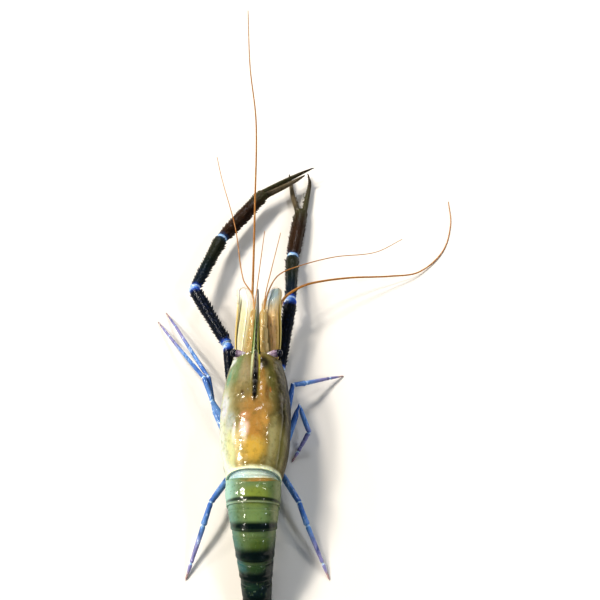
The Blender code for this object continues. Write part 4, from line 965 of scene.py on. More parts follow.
# %% Rostrum
ROSTRUM_FOOT, ROSTRUM_LENGTH = FRONT + 0.3, 47.0
ROSTRUM_ROWS = (
    # share of the length, upper edge, lower edge, half width
    (0, 43.8, 36.4, 2.9), (0.2, 44.2, 36.2, 2.3), (0.45, 44.2, 37.2, 1.8),
    (0.7, 44.8, 40, 1.2), (0.9, 46.4, 43.6, 0.75), (0.98, 47.3, 45.8, 0.5),
)


def saw(share, first, last, teeth):
    """Height from 0 to 1 of a row of forward-leaning teeth at a share of the length."""
    along_row = (share - first) / (last - first) * (teeth - 1) + 0.75
    if not 0 <= along_row <= teeth:
        return 0.0
    part = along_row % 1.0
    return (part / 0.75) ** 1.7 if part < 0.75 else ((1 - part) / 0.25) ** 1.4


rostrum = Net()
rings, along = [], []
steps = 220
for step in range(steps + 1):
    share = -0.06 + 1.04 * step / steps
    top, bottom, half_width = row_at(ROSTRUM_ROWS, max(share, 0))
    ridge = bottom + 0.55 * (top - bottom)
    upper = top + 1.75 * saw(share, 0.05, 0.9, 9) * (1 - 0.35 * share)
    lower = bottom - 1.35 * saw(share, 0.25, 0.9, 8)
    thin = 0.28 * half_width + 0.12
    half = [
        (0, upper, 0.0), (0.35 * thin, upper - 0.25, 0.04), (thin, top - 0.4, 0.14),
        (thin * 1.1, ridge + 1.6, 0.3), (0.55 * half_width + 0.2, ridge + 0.75, 0.42),
        (half_width, ridge + 0.25, 0.5), (half_width * 0.98, ridge - 0.2, 0.55),
        (0.55 * half_width, ridge - 0.7, 0.62), (thin, ridge - 1.3, 0.7),
        (0.8 * thin, bottom + 0.3, 0.85), (0.3 * thin, lower + 0.15, 0.95), (0, lower, 1.0),
    ]
    y = ROSTRUM_FOOT + ROSTRUM_LENGTH * share
    rings.append([point(x, y, z) for x, z, _ in mirrored(half, closed=True)])
    along.append(max(share, 0))
tip = point(0, ROSTRUM_FOOT + ROSTRUM_LENGTH, 47.8)
rostrum.skin(rings, across_map(half, closed=True), along, end=tip)
build(rostrum, "rostrum", [rostrum_shell], sharp=40)

# %% [markdown]
# ## Eyes on stalks
# Each eye is a black dome wider than the stalk that carries it. The stalk starts inside the notch of
# the shield, swells towards the eye and ends in a pale rim that the dome sits in. Dome and stalk stay
# two pieces, because the dome is glossy and the stalk is skin.

# %% Eyes
EYE_RADIUS = 2.5
STALK_KNOTS = (
    (4.6, FRONT - 3, 33.0), (5.4, FRONT + 1.2, 33.2), (7.8, FRONT + 3.0, 33.4), (10.7, FRONT + 3.7, 33.6),
    (13.4, FRONT + 4.1, 33.75),
)
STALK_ROWS = (  # share of the length, radius
    (0, 1.4), (0.3, 1.5), (0.5, 1.7), (0.62, 1.95), (0.78, 2.3), (0.9, 2.5), (0.96, 2.55), (1, 2.2),
)
for side, tag in SIDES:
    centre = point(side * 14.4, FRONT + 4.2, 33.8)
    course = curve_through(course_of(STALK_KNOTS, side), 60)
    way = (centre - course[-8]).normalized()
    stalk, eye = Net(), Net()
    rings = []
    for step, place in enumerate(course):
        share = step / 59
        girth = row_at(STALK_ROWS, share)[0]
        girth += 0.12 * bump(share, 0.6, 0.02) - 0.14 * bump(share, 0.64, 0.02)
        rings.append(ring_round(place, way_at(course, step), girth, girth * 0.92, 32))
    stalk.skin(rings)
    build(stalk, "eyestalk_" + tag, [stalk_skin])
    rings = []
    for step in range(28):
        turn = math.radians(-48 + 134 * step / 27)
        size = EYE_RADIUS * math.cos(turn) * (1 + 0.03 * bump(step, 7, 3))
        rings.append(ring_round(centre + way * (EYE_RADIUS * MM * math.sin(turn)), way, size, size, 48))
    eye.skin(rings, end=centre + way * EYE_RADIUS * MM)
    build(eye, "cornea_" + tag, [cornea_black])

# %% [markdown]
# ## The waist
# Between carapace and tail the shell is only soft skin, bluish white, so the tail can bend. It comes
# out from under the lip of the shield and lies in fine folds across.

# %% Waist membrane
WAIST_LENGTH = 7.0


def sweep_at(z):
    """How far the front edge of the first tail ring reaches ahead at a height, in millimetres."""
    return 4.2 * (1 - ((z - 30) / 14) ** 2)


waist = Net()
rings, along = [], []
steps = 36
front_ring = shield_ring(REAR, 1.3)
for step in range(steps + 1):
    share = step / steps
    fold = 0.16 * math.sin(share * 26) + 0.35 * math.sin(share * math.pi) - 0.3 * (1 - share)
    ring = []
    for place in front_ring:
        z = place.z / MM
        start = REAR + 2.5 - lag_at(z)
        stop = REAR - WAIST_LENGTH - 1.0 + sweep_at(z)
        ripple = fold + 0.12 * noise.noise(Vector((place.x * 300, share * 5, place.z * 300)))
        away = Vector((place.x, 0, place.z - 29 * MM)).normalized()
        ring.append(Vector((place.x, (start + (stop - start) * share) * MM, place.z)) + away * (ripple * MM))
    rings.append(ring)
    along.append(share)
waist.skin(rings, across_map(plain_half), along)
build(waist, "waist_membrane", [membrane])

# %% [markdown]
# ## The tail
# Six hard rings slide into one another like the plates of a gauntlet, each tucked under the one
# ahead. First the line of the back is laid out: it falls in steps from ring to ring, and each joint's
# plane tips by the mean of its two neighbours, so that no ring needs a bend.

# %% The line of the tail
SOMITE_LENGTHS = (11.0, 14.0, 15.0, 10.5, 11.5, 16.5)
SOMITE_TILTS = (2, 20, 34, 42, 40, 22)
TAIL_HALF_WIDTHS = (15.5, 14.1, 12.1, 10.0, 8.5, 7.2, 5.9)
TAIL_DEPTHS = (25.0, 26.5, 25.0, 21.0, 16.5, 11.6, 8.8)
TELSON_TILT = 5


def back_at(tilt):
    """The way back along a part that slopes down by tilt degrees."""
    turn = math.radians(tilt)
    return Vector((0, -math.cos(turn), -math.sin(turn)))


def tail_joints():
    """Where each joint lies on the middle of the back, and how far its plane tips back."""
    place = point(0, REAR - WAIST_LENGTH, BACK_HEIGHT)
    tilts = (0, *SOMITE_TILTS, TELSON_TILT)
    joints = [(place, 0.0)]
    for index, length in enumerate(SOMITE_LENGTHS):
        place = place + back_at(SOMITE_TILTS[index]) * (length * MM)
        joints.append((place, (tilts[index + 1] + tilts[index + 2]) / 2))
    return joints


def tilted(place, tilt, across, high):
    """A place on a section whose plane tips back by tilt degrees."""
    turn = math.radians(tilt)
    return place + Vector((across, -high * math.sin(turn), high * math.cos(turn)))


joints = tail_joints()
print("the back ends at a height of, in mm:", round(joints[-1][0].z / MM, 1))

# %% [markdown]
# ## Rings that lap over one another
# Each ring starts deeper inside, comes out to its full size, and turns in at the end for its lip.
# Only the second ring is broad at the side: its rounded flap laps over its neighbours' flaps, which
# is a mark of the true prawns.

# %% Tail rings
TUCKED = {-0.1: 1.9, -0.06: 1.5, 1.07: 0.1, 1.075: 0.55}  # how deep the first and last rings lie, in mm
OUTER_SHARES = [-0.1, -0.06, 0.0] + [0.02 + 0.96 * step / 46 for step in range(47)] + [1.01, 1.045, 1.07, 1.075]
UNDER_LIP = [1.04, 0.97]
LIP = 0.95
BROAD = 1  # the ring with the broad flap
for index in range(RINGS):
    (front, front_tilt), (rear, rear_tilt) = joints[index], joints[index + 1]
    last, broad = index == RINGS - 1, index == BROAD
    net = Net()
    rings, along = [], []
    for share in OUTER_SHARES + UNDER_LIP:
        inner = len(rings) >= len(OUTER_SHARES)
        inset = LIP if inner else TUCKED.get(share, 0.0)
        held = min(1.0, max(0.0, share))
        tilt = front_tilt + (rear_tilt - front_tilt) * held
        half_width = TAIL_HALF_WIDTHS[index] * (1 - held) + TAIL_HALF_WIDTHS[index + 1] * held
        depth = TAIL_DEPTHS[index] * (1 - held) + TAIL_DEPTHS[index + 1] * held
        swell = -0.35 + 0.5 * smooth(held / 0.42) - 0.1 * bump(held, 0.86, 0.05)
        swell += 0.12 * smooth((held - 0.92) / 0.08)
        swell -= 0.25 * bump(held, 0.3, 0.03) if index else 0.0
        swell -= inset
        flap = 0.0 if last else 2.6 * (1 - (2 * held - 1) ** 2) ** 0.7
        half_width += swell
        belly = (0.9 if last else 0.66) * depth
        edge = (0.6 if last else 0.88) * half_width
        if broad:
            flap += 1.6 * (1 - (2 * held - 1) ** 4)
            edge += 0.6
        way = back_at(tilt)
        place = front.lerp(rear, share)
        half = arch(half_width, 0.5 * depth, depth + flap, edge, 1.0, belly, 40, 18)
        ring = []
        for x, z, u in mirrored(half):
            # the flap at the side of a plate is rounded
            sweep = -1.4 * smooth((abs(u) - 0.8) / 0.12) * smooth((held - 0.5) * 2)
            sweep += (0.9 if broad else 0.0) * smooth((abs(u) - 0.55) / 0.2) * (2 * held - 1)
            spot = tilted(place, tilt, x * MM, (z + 0.6 * swell) * MM) + way * (sweep * MM)
            if index == 0:
                spot.y += sweep_at(spot.z / MM) * (1 - smooth(held * 2)) * MM
            ring.append(spot)
        rings.append(ring)
        along.append((index + min(max(share, 0.002), 0.998)) / RINGS)
    net.skin(rings, across_map(half), along)
    build(net, f"pleomere_{index + 1}", [tail_shell])

# %% [markdown]
# ## Leaves and fringes
# Swimmerets, tail fan and the blades beside the feelers are all thin leaves with raised ribs and a
# fringe. A leaf is two nets of points with a little camber, closed round the edge. Its bristles lean
# out and towards the tip, each a little different in length.

# %% Leaves and their fringes
SUNK = 0.2


def blade(net, spine, widths, thickness, side, lift, columns, camber, ribs):
    """A thin leaf along a spine, sized in mm; ribs are (share across, height, width) ridges."""
    upper, lower = [], []
    shares = [2 * j / (columns - 1) - 1 for j in range(columns)]
    for place, width in zip(spine, widths):
        high_row, low_row = [], []
        for share in shares:
            rise = camber * width * (1 - share * share)
            ridge = sum(h * bump(share, at, w) for at, h, w in ribs) * min(1.0, width / 3)
            half = thickness / 2 * (0.35 + 0.65 * (1 - abs(share) ** 4))
            middle = place + side * (share * width * MM) + lift * (rise * MM)
            high_row.append(middle + lift * ((half + ridge) * MM))
            low_row.append(middle - lift * (half * MM))
        upper.append(high_row)
        lower.append(low_row)
    net.leaf(upper, lower, shares, [i / (len(spine) - 1) for i in range(len(spine))])
    return upper, shares


def fringe(net, upper, shares, start, step, length, radius, outward=0.55, edges=(0, -1)):
    """Bristles, sized in mm, along the chosen edges and the end of a leaf, sweeping to its tip."""
    rows, gap = len(upper), step * MM
    for edge in edges:
        for i in range(int(start * rows), rows - 1):
            here, there = upper[i][edge], upper[i + 1][edge]
            middle = upper[i][len(shares) // 2]
            out = (here - middle).normalized()
            way = (there - here).normalized()
            count = max(1, int((there - here).length / gap))
            for k in range(count):
                root = here.lerp(there, k / count)
                lean = out * outward + way * (1 - outward) + UP * random.uniform(-0.12, 0.12)
                spot = (shares[edge], i / (rows - 1))
                size = length * random.uniform(0.8, 1.1)
                hair(net, root - out * SUNK * MM, lean.normalized(), size, radius, spot)
    tips = upper[-1]
    count = max(4, int(sum((a - b).length for a, b in zip(tips, tips[1:])) / gap))
    for k in range(count):
        part = k / count * (len(tips) - 1)
        j = min(int(part), len(tips) - 2)
        root = tips[j].lerp(tips[j + 1], part - j)
        way = (upper[-1][j] - upper[-2][j]).normalized()
        side = (tips[-1] - tips[0]).normalized() * ((part / (len(tips) - 1)) * 1.2 - 0.6)
        lean = way + side + UP * random.uniform(-0.1, 0.1)
        spot = (2 * part / (len(tips) - 1) - 1, 1.0)
        hair(net, root - way * SUNK * MM, lean, length * random.uniform(0.85, 1.15), radius, spot)


print("bristles are sunk in the leaf by, in mm:", SUNK)

# %% [markdown]
# ## Swimmerets
# Under each ring but the last hangs a pair of paddles: a short stalk with two leaves, fringed with
# bristles, that beat to swim. At rest they lie back under the tail, so each pair dips a little more
# than the tail above it, and one loop makes all ten from their sizes and dips.

# %% Swimmerets
SWIMMERET_SIZES = (1.0, 1.0, 0.9, 0.7, 0.5)
SWIMMERET_DIPS = (42, 50, 62, 73, 68)
PADDLE_STALK = ((0, 2, 1.6), (0.3, 2.1, 1.7), (0.8, 1.7, 1.4), (1, 1.5, 1.3))
LEAF_SHAPE = ((0, 0.8), (0.3, 2.1), (0.65, 2.2), (0.9, 1.35), (1, 0.5))
LEAVES = ((-5, 12, 0.7, 0), (6, 10.5, 1.3, 9))  # splay in degrees, length, rise, how much less it dips
for index in range(RINGS - 1):
    size = SWIMMERET_SIZES[index]
    dip = math.radians(SWIMMERET_DIPS[index])
    (front, front_tilt), (rear, rear_tilt) = joints[index], joints[index + 1]
    tilt = (front_tilt + rear_tilt) / 2
    depth = (TAIL_DEPTHS[index] + TAIL_DEPTHS[index + 1]) / 2
    roof = tilted(front.lerp(rear, 0.5), tilt, 0, -0.66 * depth * MM)
    net, hairs = Net(), Net()
    for side, tag in SIDES:
        root = Vector((side * 0.37 * TAIL_HALF_WIDTHS[index + 1] * MM, roof.y, roof.z))
        foot = root - UP * (6.5 * MM * size)
        rings = []
        for step in range(15):
            share = -0.2 + 1.2 * step / 14
            half_width, half_depth = row_at(PADDLE_STALK, share)
            rings.append(ring_round(root.lerp(foot, share), -UP, half_width * size, half_depth * size, 20))
        net.skin(rings)
        for splay, length, rise, slack in LEAVES:
            turn = math.radians(splay) * side
            down = dip - math.radians(slack)
            way = Vector((math.sin(turn), -math.cos(down), -math.sin(down))).normalized()
            start = foot + Vector((side * splay * 0.05, 0, rise * size)) * MM
            spine = [start + way * (length * MM * size * k / 20) for k in range(21)]
            widths = [row_at(LEAF_SHAPE, k / 20)[0] * size for k in range(21)]
            beside = way.cross(UP).normalized()
            lift = beside.cross(way).normalized()
            leaf = blade(net, spine, widths, 0.5, beside, lift, 13, 0.1, ((0, 0.25, 0.14),))
            fringe(hairs, *leaf, 0.25, 0.28, 1.7 * size, 0.05)
    build(net, f"swimmerets_{index + 1}", [paddle_skin], nodes=())
    build(hairs, f"swimmeret_fringe_{index + 1}", [bristle], bristles=True)

# %% [markdown]
# ## The tail fan
# The last ring carries a narrow pointed plate, the telson, and two pairs of blades that open into a
# fan. The outer blade has a cross seam near its end with a small spine beside it. Blades get raised
# ribs, a thin edge and a thick fringe; the telson has two pairs of tiny spines on its back.

# %% Telson
TELSON_LENGTH = 31.0
TELSON_ROWS = (  # share of the length, half width, half depth
    (0, 4.7, 2.2), (0.06, 4.8, 2.3), (0.25, 4.2, 1.9), (0.6, 3, 1.4), (0.9, 1.7, 0.9), (0.97, 0.9, 0.5),
)
end, end_tilt = joints[-1]
telson_root, telson_way = tilted(end, end_tilt, 0, -2.5 * MM), back_at(TELSON_TILT)


def on_telson(share):
    return telson_root + telson_way * (TELSON_LENGTH * MM * share)


telson, fan_hairs = Net(), Net()
rings, along = [], []
for step in range(60):
    share = -0.07 + 1.04 * step / 59
    half_width, half_depth = row_at(TELSON_ROWS, max(share, 0))
    ring = ring_round(on_telson(share), telson_way, half_width, half_depth, 40)
    for place in ring:
        x = place.x / (half_width * MM)
        if place.z > on_telson(share).z:
            place.z += (0.35 * bump(abs(x), 0.55, 0.18) - 0.15 * bump(x, 0, 0.2)) * MM * (1 - 0.5 * share)
    rings.append(ring)
    along.append(max(share, 0))
telson.skin(rings, along=along, end=on_telson(1.0))
for side, _ in SIDES:
    for share, height in ((0.55, 1.3), (0.78, 1.3), (0.95, 2.2)):
        half_width, half_depth = row_at(TELSON_ROWS, share)
        place = on_telson(share) + point(side * half_width * 0.72, 0, half_depth * 0.7)
        lean = telson_way + UP * 0.25 + Vector((side * 0.15, 0, 0))
        spike(telson, place, lean, height, 0.26, (0, 0.9))
    for k in range(60):
        share = 0.25 + 0.72 * k / 59
        place = on_telson(share) + point(side * row_at(TELSON_ROWS, share)[0] * 0.97, 0, 0)
        lean = telson_way + Vector((side * 0.5, 0, 0))
        hair(fan_hairs, place, lean, random.uniform(1.2, 1.8), 0.05, (side * 0.9, share))
build(telson, "telson", [fan_shell])

# %% [markdown]
# ## The four blades of the fan
# Inner and outer blades differ only in their sizes, their spread and the outer one's cross seam, so
# one loop makes all four. The spine of each blade comes out under the last ring and sinks to the
# floor, where the fan lies flat, the outer blades below the inner ones.

# %% Uropods
SEAM_ROW, COLUMNS = 37, 31
OUTLINE = (0.0, 0.16, 0.36, 0.6, 0.84, 1.0)  # shares of the length at which the half widths stand
FAN_BLADES = (  # name, root across and below, spread in degrees, length, half widths, height on the floor
    ("exopod", 4.3, 7.0, 25, 33, (1.2, 3.4, 6.2, 7.0, 5.6, 2.4), 0.5),
    ("endopod", 2.6, 5.5, 13, 31, (1.2, 2.6, 4.4, 4.9, 4.0, 1.6), 2.35),
)
for side, tag in SIDES:
    for name, across, under, yaw, length, half_widths, floor in FAN_BLADES:
        swing = math.radians(yaw) * side
        course = Vector((math.sin(swing), -math.cos(swing), 0))
        start = tilted(end, end_tilt, side * across * MM, -under * MM) - back_at(end_tilt) * 1.5 * MM
        outline = list(zip(OUTLINE, half_widths))
        spine, widths = [], []
        for k in range(49):
            share = k / 48
            height = floor * MM + (start.z - floor * MM) * (1 - smooth(share * 2.2))
            place = start + course * (length * MM * share)
            spine.append(Vector((place.x, place.y, height)))
            widths.append(row_at(outline, share)[0])
        beside = Vector((-course.y, course.x, 0))
        ribs = [(0.0, 0.5, 0.07), (side * 0.34, 0.25, 0.05)]
        if name == "exopod":
            ribs.append((side * 0.86, 0.4, 0.08))
        net = Net()
        leaf = blade(net, spine, widths, 0.9, beside, UP, COLUMNS, 0.05, ribs)
        if name == "exopod":
            seam = leaf[0][SEAM_ROW]
            for row, drop in ((SEAM_ROW, 0.32), (SEAM_ROW + 1, -0.1)):
                for j in range(COLUMNS):
                    leaf[0][row][j].z -= drop * MM
            foot = seam[-2 if side > 0 else 1]
            spike(net, foot, course + beside * (side * 0.35), 2.2, 0.4, (side, 0.78))
        build(net, f"uropod_{name}_{tag}", [fan_shell])
        fringe(fan_hairs, *leaf, 0.35, 0.22, 2.3, 0.055, 0.5)
build(fan_hairs, "tail_fan_fringe", [bristle], bristles=True)

# %% [markdown]
# ## The breast
# Between the legs the underside is a row of hard plates, one for each pair, and each leg starts in a
# short stout hip there. The animal rests on these plates, so they are flat below.

# %% Breast plates
BREAST_ROWS = (
    (-35, 6.4, 7), (-28, 8.4, 1.4), (-25, 9, 0), (12, 9, 0), (22, 7.2, 0), (30, 5.6, 1.6),
)
thorax = Net()
rings = []
steps = 110
for step in range(steps + 1):
    y = BREAST_REAR + BREAST_LENGTH * step / steps
    half_width, under = row_at(BREAST_ROWS, y)
    _, _, lower, _, hollow = row_at(CARAPACE_ROWS, y)
    roof = lower + max(hollow - 0.6, 0) + 0.9
    seam = max(bump(y, at, 1.5) for at in BREAST_SEAMS)
    half_width -= 1.2 * seam
    under = max(under, 0)
    low = under + 1.1 * seam
    half = [
        (0, roof), (half_width - 3.4, roof), (half_width - 1.4, roof - 1.2), (half_width, lower + 0.5),
        (half_width + 0.1, lower - 2), (half_width, under + 1.6), (half_width - 0.5, low + 0.6),
        (half_width - 1.6, low), (half_width * 0.6, low), (1.3, low), (0.6, low + 0.9), (0, low + 1.1),
    ]
    half = [(x, z, index / (len(half) - 1)) for index, (x, z) in enumerate(half)]
    rings.append([point(x, y, z) for x, z, _ in mirrored(half, closed=True)])
thorax.skin(rings, across_map(half, closed=True))
build(thorax, "thorax", [breast_plate])

# %% [markdown]
# ## Bases of the feelers
# In front of the shield stand two pairs of feeler bases. The upper pair are three-jointed stems that
# carry the short lashes. The lower pair are stout blocks that carry the long feelers and, outside
# them, a broad blade that steers the animal. Each stem starts inside the shield's mouth, so that no
# gap shows behind it. One helper makes both pairs, and is handed a function that shapes the points.

# %% Antenna bases
ANTENNA_BASE_ROWS = (
    # place on Y, across, height, half width, half depth
    (32, 9.6, 19, 3.8, 4.2), (38, 10.2, 19, 4.2, 4.4), (42, 10.4, 19, 4.8, 4.8),
    (44.5, 10.4, 18.8, 4.7, 4.7), (45.6, 10.2, 18.5, 4, 4.1), (46.2, 9.4, 16.8, 2.6, 2.6),
    (50, 9.1, 15.7, 2.6, 2.5), (54.5, 9, 15.2, 2.9, 2.8), (55.6, 9, 15.1, 2.2, 2.1),
    (57, 9, 15, 2.6, 2.5), (63.5, 9, 14.3, 2.6, 2.5), (64.6, 9, 14.2, 1.9, 1.8),
    (66.2, 9, 14, 1.2, 1.2),
)


def stem(net, rows, side, steps, sides, moved):
    """A stem along Y; moved gives each point of a ring its final place, from it and the middle."""
    rings = []
    start, length = rows[0][0], rows[-1][0] - rows[0][0]
    for step in range(steps):
        x, z, half_width, half_depth = row_at(rows, start + length * step / (steps - 1))
        centre = point(side * x, start + length * step / (steps - 1), z)
        ring = ring_round(centre, FORWARD, half_width, half_depth, sides)
        rings.append([moved(place, centre) for place in ring])
    net.skin(rings)


def uneven(place, centre):
    return place + (place - centre) * (0.06 * noise.noise(place * 420))


for side, tag in SIDES:
    net = Net()
    stem(net, ANTENNA_BASE_ROWS, side, 110, 36, uneven)
    spike(net, point(side * 14.2, 43.5, 17.0), Vector((side * 0.25, 1, 0)), 3.2, 0.9, (0.5, 0.4), 8)
    build(net, "antenna_base_" + tag, [feeler_base])

# %% [markdown]
# ## The blades beside the feelers
# The outer edge is a straight stiff rib that ends in a spine; the rest is a thin, finely veined leaf
# that rounds off past the spine and carries a fringe. It is one net with the rib and the veins as
# raised bands. Both are rolled a little, so that the outer edge stands higher.

# %% Antennal scales
SCALE_LENGTH = 55.0
SCALE_ROWS = (
    (0, 1.8), (0.14, 4.2), (0.35, 5.9), (0.6, 6.8), (0.82, 7), (0.94, 5.5), (0.985, 3.9), (1, 2.6),
)
SCALE_STEPS, SPINE_STEP = 80, 64
VEINS = (-0.75, -0.6, -0.45, -0.3, -0.15, 0.15, 0.3, 0.45, 0.6)
ROLL = math.radians(17)
scale_fringe = Net()
for side, tag in SIDES:
    net = Net()
    spine, widths = [], []
    for step in range(SCALE_STEPS + 1):
        share = -0.02 + 1.02 * step / SCALE_STEPS
        x = 11.0 - 2.6 * smooth(share / 0.8) + 2.2 * smooth((share - 0.8) / 0.2)
        spine.append(point(side * x, 45.9 + SCALE_LENGTH * share, 21.0 + 12.0 * share))
        widths.append(row_at(SCALE_ROWS, max(share, 0))[0])
    across = Vector((math.cos(ROLL) * side, 0, math.sin(ROLL)))
    lift = Vector((-math.sin(ROLL) * side, 0, math.cos(ROLL)))
    ribs = [(0.9, 0.75, 0.09), (0.74, -0.2, 0.05), (0.0, 0.35, 0.05)]
    ribs += [(at, 0.1, 0.025) for at in VEINS]
    leaf = blade(net, spine, widths, 0.8, across, lift, 61, 0.07, ribs)
    edge = spine[SPINE_STEP] + across * ((widths[SPINE_STEP] - 0.5) * MM) + lift * 0.3 * MM
    spike(net, edge, Vector((side * 0.02, 1, 0.16)), 5.2, 0.75, (0.92, 0.82), 10)
    build(net, "antennal_scale_" + tag, [scale_blade if side < 0 else tan_scale_blade])
    fringe(scale_fringe, *leaf, 0.2, 0.3, 2.6, 0.05, 0.5, edges=(0,))
    fringe(scale_fringe, *leaf, 0.84, 0.3, 2.2, 0.05, 0.5, edges=(-1,))
build(scale_fringe, "antennal_scale_fringe", [bristle], bristles=True)

# %% [markdown]
# ## Ringed feelers
# Every lash is a chain of hundreds of tiny rings, so its girth swings a little from ring to ring. It
# thins fast at its root and then slowly. A tube along a curve with a bump texture would be lighter,
# but its outline would be smooth. A real ring is about 0.5 mm long; here it is 1.1 mm, to show.

# %% One lash
RING_LENGTH = 1.1 * MM
RING_GIRTHS = (1.07, 1.07, 0.86)


def lash(net, knots, root_radius, tip_radius, sides=10):
    """A ringed feeler along a smooth curve through knots; knots and radii are in mm."""
    knots = course_of(knots)
    length = sum((b - a).length for a, b in zip(knots, knots[1:]))
    count = max(12, int(length / RING_LENGTH)) * len(RING_GIRTHS)
    places = curve_through(knots, count)
    rings = []
    for index, place in enumerate(places):
        share = index / (count - 1)
        thick = 0.55 * (1 - share) + 0.45 * (1 - smooth(share / 0.2))
        girth = (tip_radius + (root_radius - tip_radius) * thick) * RING_GIRTHS[index % len(RING_GIRTHS)]
        normal = way_at(places, index) if index else FORWARD
        rings.append(ring_round(place, normal, girth, girth, sides))
    net.skin(rings, end=places[-1] + (places[-1] - places[-2]).normalized() * 0.8 * MM)
    print("rings along a lash:", count // len(RING_GIRTHS))


# %% [markdown]
# ## Short feelers
# Each stem has three joints, hollowed above where the eye lies over it, with a spine at the outside
# of the first. It carries an outer and an inner lash, which wave freely, so the lashes of the two
# sides differ.

# %% Antennules
ANTENNULE_ROWS = (
    # place on Y, across, height, half width, half depth
    (31, 4.6, 27.2, 2.9, 2.9), (36.3, 4.5, 27.6, 3, 2.9), (48, 4, 28.2, 3.5, 3.1),
    (56, 3.9, 29, 3.4, 2.8), (57.2, 3.8, 29.1, 2.5, 2.2), (58.6, 3.8, 29.3, 2.9, 2.4),
    (67.6, 3.5, 30.3, 3, 2.5), (68.8, 3.45, 30.5, 2.2, 2), (70.2, 3.4, 30.7, 2.6, 2.1),
    (80, 3.2, 31.8, 2.6, 2.1), (82.2, 3.2, 32, 1.6, 1.4),
)
ANTENNULES = {
    "left": (
        ((-3.2, 81.5, 32), (-5, 95, 34), (-11.9, 107, 37), (-19.9, 151, 46), (-32.9, 197, 56), (-37.9, 218, 60)),
        ((-3.2, 81.5, 32), (-2.2, 95, 35), (-0.5, 112, 41), (2.6, 140, 52)),
    ),
    "right": (
        ((3.2, 81.5, 32), (6.4, 98, 35), (13.1, 112, 36), (28.1, 124, 33), (54.1, 139, 27), (86.1, 152, 19),
         (110.1, 172, 14)),
        ((3.2, 81.5, 32), (4.4, 95, 35.8), (8.1, 112, 42), (14.1, 138, 52)),
    ),
}


def hollowed(place, centre):
    """Press in the top of the stem where the eye lies over it."""
    if place.z > centre.z:
        place.z -= 0.8 * MM * bump(place.x / MM, centre.x / MM, 1.4) * smooth((55 - centre.y / MM) / 8)
    return place


for side, tag in SIDES:
    net = Net()
    stem(net, ANTENNULE_ROWS, side, 130, 32, hollowed)
    spike(net, point(side * 7.2, 45.0, 28.2), Vector((side * 0.2, 1, 0.05)), 5.5, 0.8, (0.5, 0.3), 8)
    build(net, "antennule_stem_" + tag, [feeler_base])
    net = Net()
    outer, inner = ANTENNULES[tag]
    lash(net, outer, 0.62, 0.25)
    lash(net, inner, 0.48, 0.25)
    build(net, "antennule_lash_" + tag, [feeler_lash])

# %% [markdown]
# ## Long feelers
# The long pair are thicker lashes of the same kind. The left one rises ahead of the animal, and the
# right one bends out and comes down to the floor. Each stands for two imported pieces.

# %% Long feelers
FEELERS = {
    "left": (
        (-9, 65.5, 14), (-7.4, 84, 15.5), (-6.3, 100, 20), (-5.1, 165, 60), (-4.7, 213, 95), (-9.5, 248, 120),
        (-11.6, 286, 145),
    ),
    "right": (
        (9, 65.5, 14), (13, 85, 19.5), (16.1, 98, 25), (27.1, 108, 26.5), (40.1, 116, 24), (66.1, 127, 17),
        (97.1, 137, 8), (122.1, 147, 2.2), (145.1, 172, 0.5), (157.1, 205, 0.36), (160.1, 235, 0.34),
    ),
}
for tag, knots in FEELERS.items():
    net = Net()
    lash(net, knots, 1.5, 0.3, 12)
    build(net, "feeler_" + tag, [feeler_lash], (f"feeler_{tag}_1", f"feeler_{tag}_2"))

# %% [markdown]
# ## Lengths of a limb
# Every length of an arm or a leg is a tube of shell with a raised rim at its far end, out of which the
# skin of the next joint bulges in folds. The rings stay square to the length and slant only close to
# a joint, so that two lengths meet in one plane.

# %% Lengths of a limb
SLEEVE = 2.2


def segment(net, low, high, normals, rows, sides, steps, span=(0.0, 1.0), rim=0.35, sleeve=None):
    """One length of a limb between two joints, with its rim and the soft sleeve at its root."""
    way = (high - low).normalized()
    unit = MM / (high - low).length  # a millimetre, as a share of this length
    soft, reach = SLEEVE * unit if sleeve is None else sleeve, min(0.32, 9 * unit)
    rings, along = [], []
    for step in range(steps + 1):
        share = step / steps
        half_width, half_depth = row_at(rows, share)
        swell = rim * (bump(share, 1 - 0.9 * unit, 0.8 * unit) - 0.5 * bump(share, 1 - 3 * unit, 1.2 * unit))
        swell += rim * 0.8 * bump(share, soft + 0.8 * unit, 0.9 * unit)
        if share < soft:
            swell -= rim * (1.1 - 0.5 * math.sin(share / soft * math.pi * 2.5))
        normal = tilt_between(way, *normals, share, reach)
        rings.append(ring_round(low.lerp(high, share), normal, half_width + swell, half_depth + swell, sides))
        along.append(between(span, share))
    base = len(net.faces)
    net.skin(rings, along=along)
    border = between(span, soft) - 1e-6
    for index in range(base, len(net.faces)):
        if net.places[index][0][1] < border and len(net.places[index]) == 4:
            net.coats[index] = 1


print("the sleeve's share of a length of 40 mm:", SLEEVE / 40)

# %% [markdown]
# ## Spines of an arm
# Spines stand in rows along the arms, all leaning towards the claw, larger on the inner side. They
# are small and many, so a loop makes them with seeded variation, as part of their length's mesh.

# %% Rows of spines
CLEAR_OF_FLOOR = 0.3  # mm


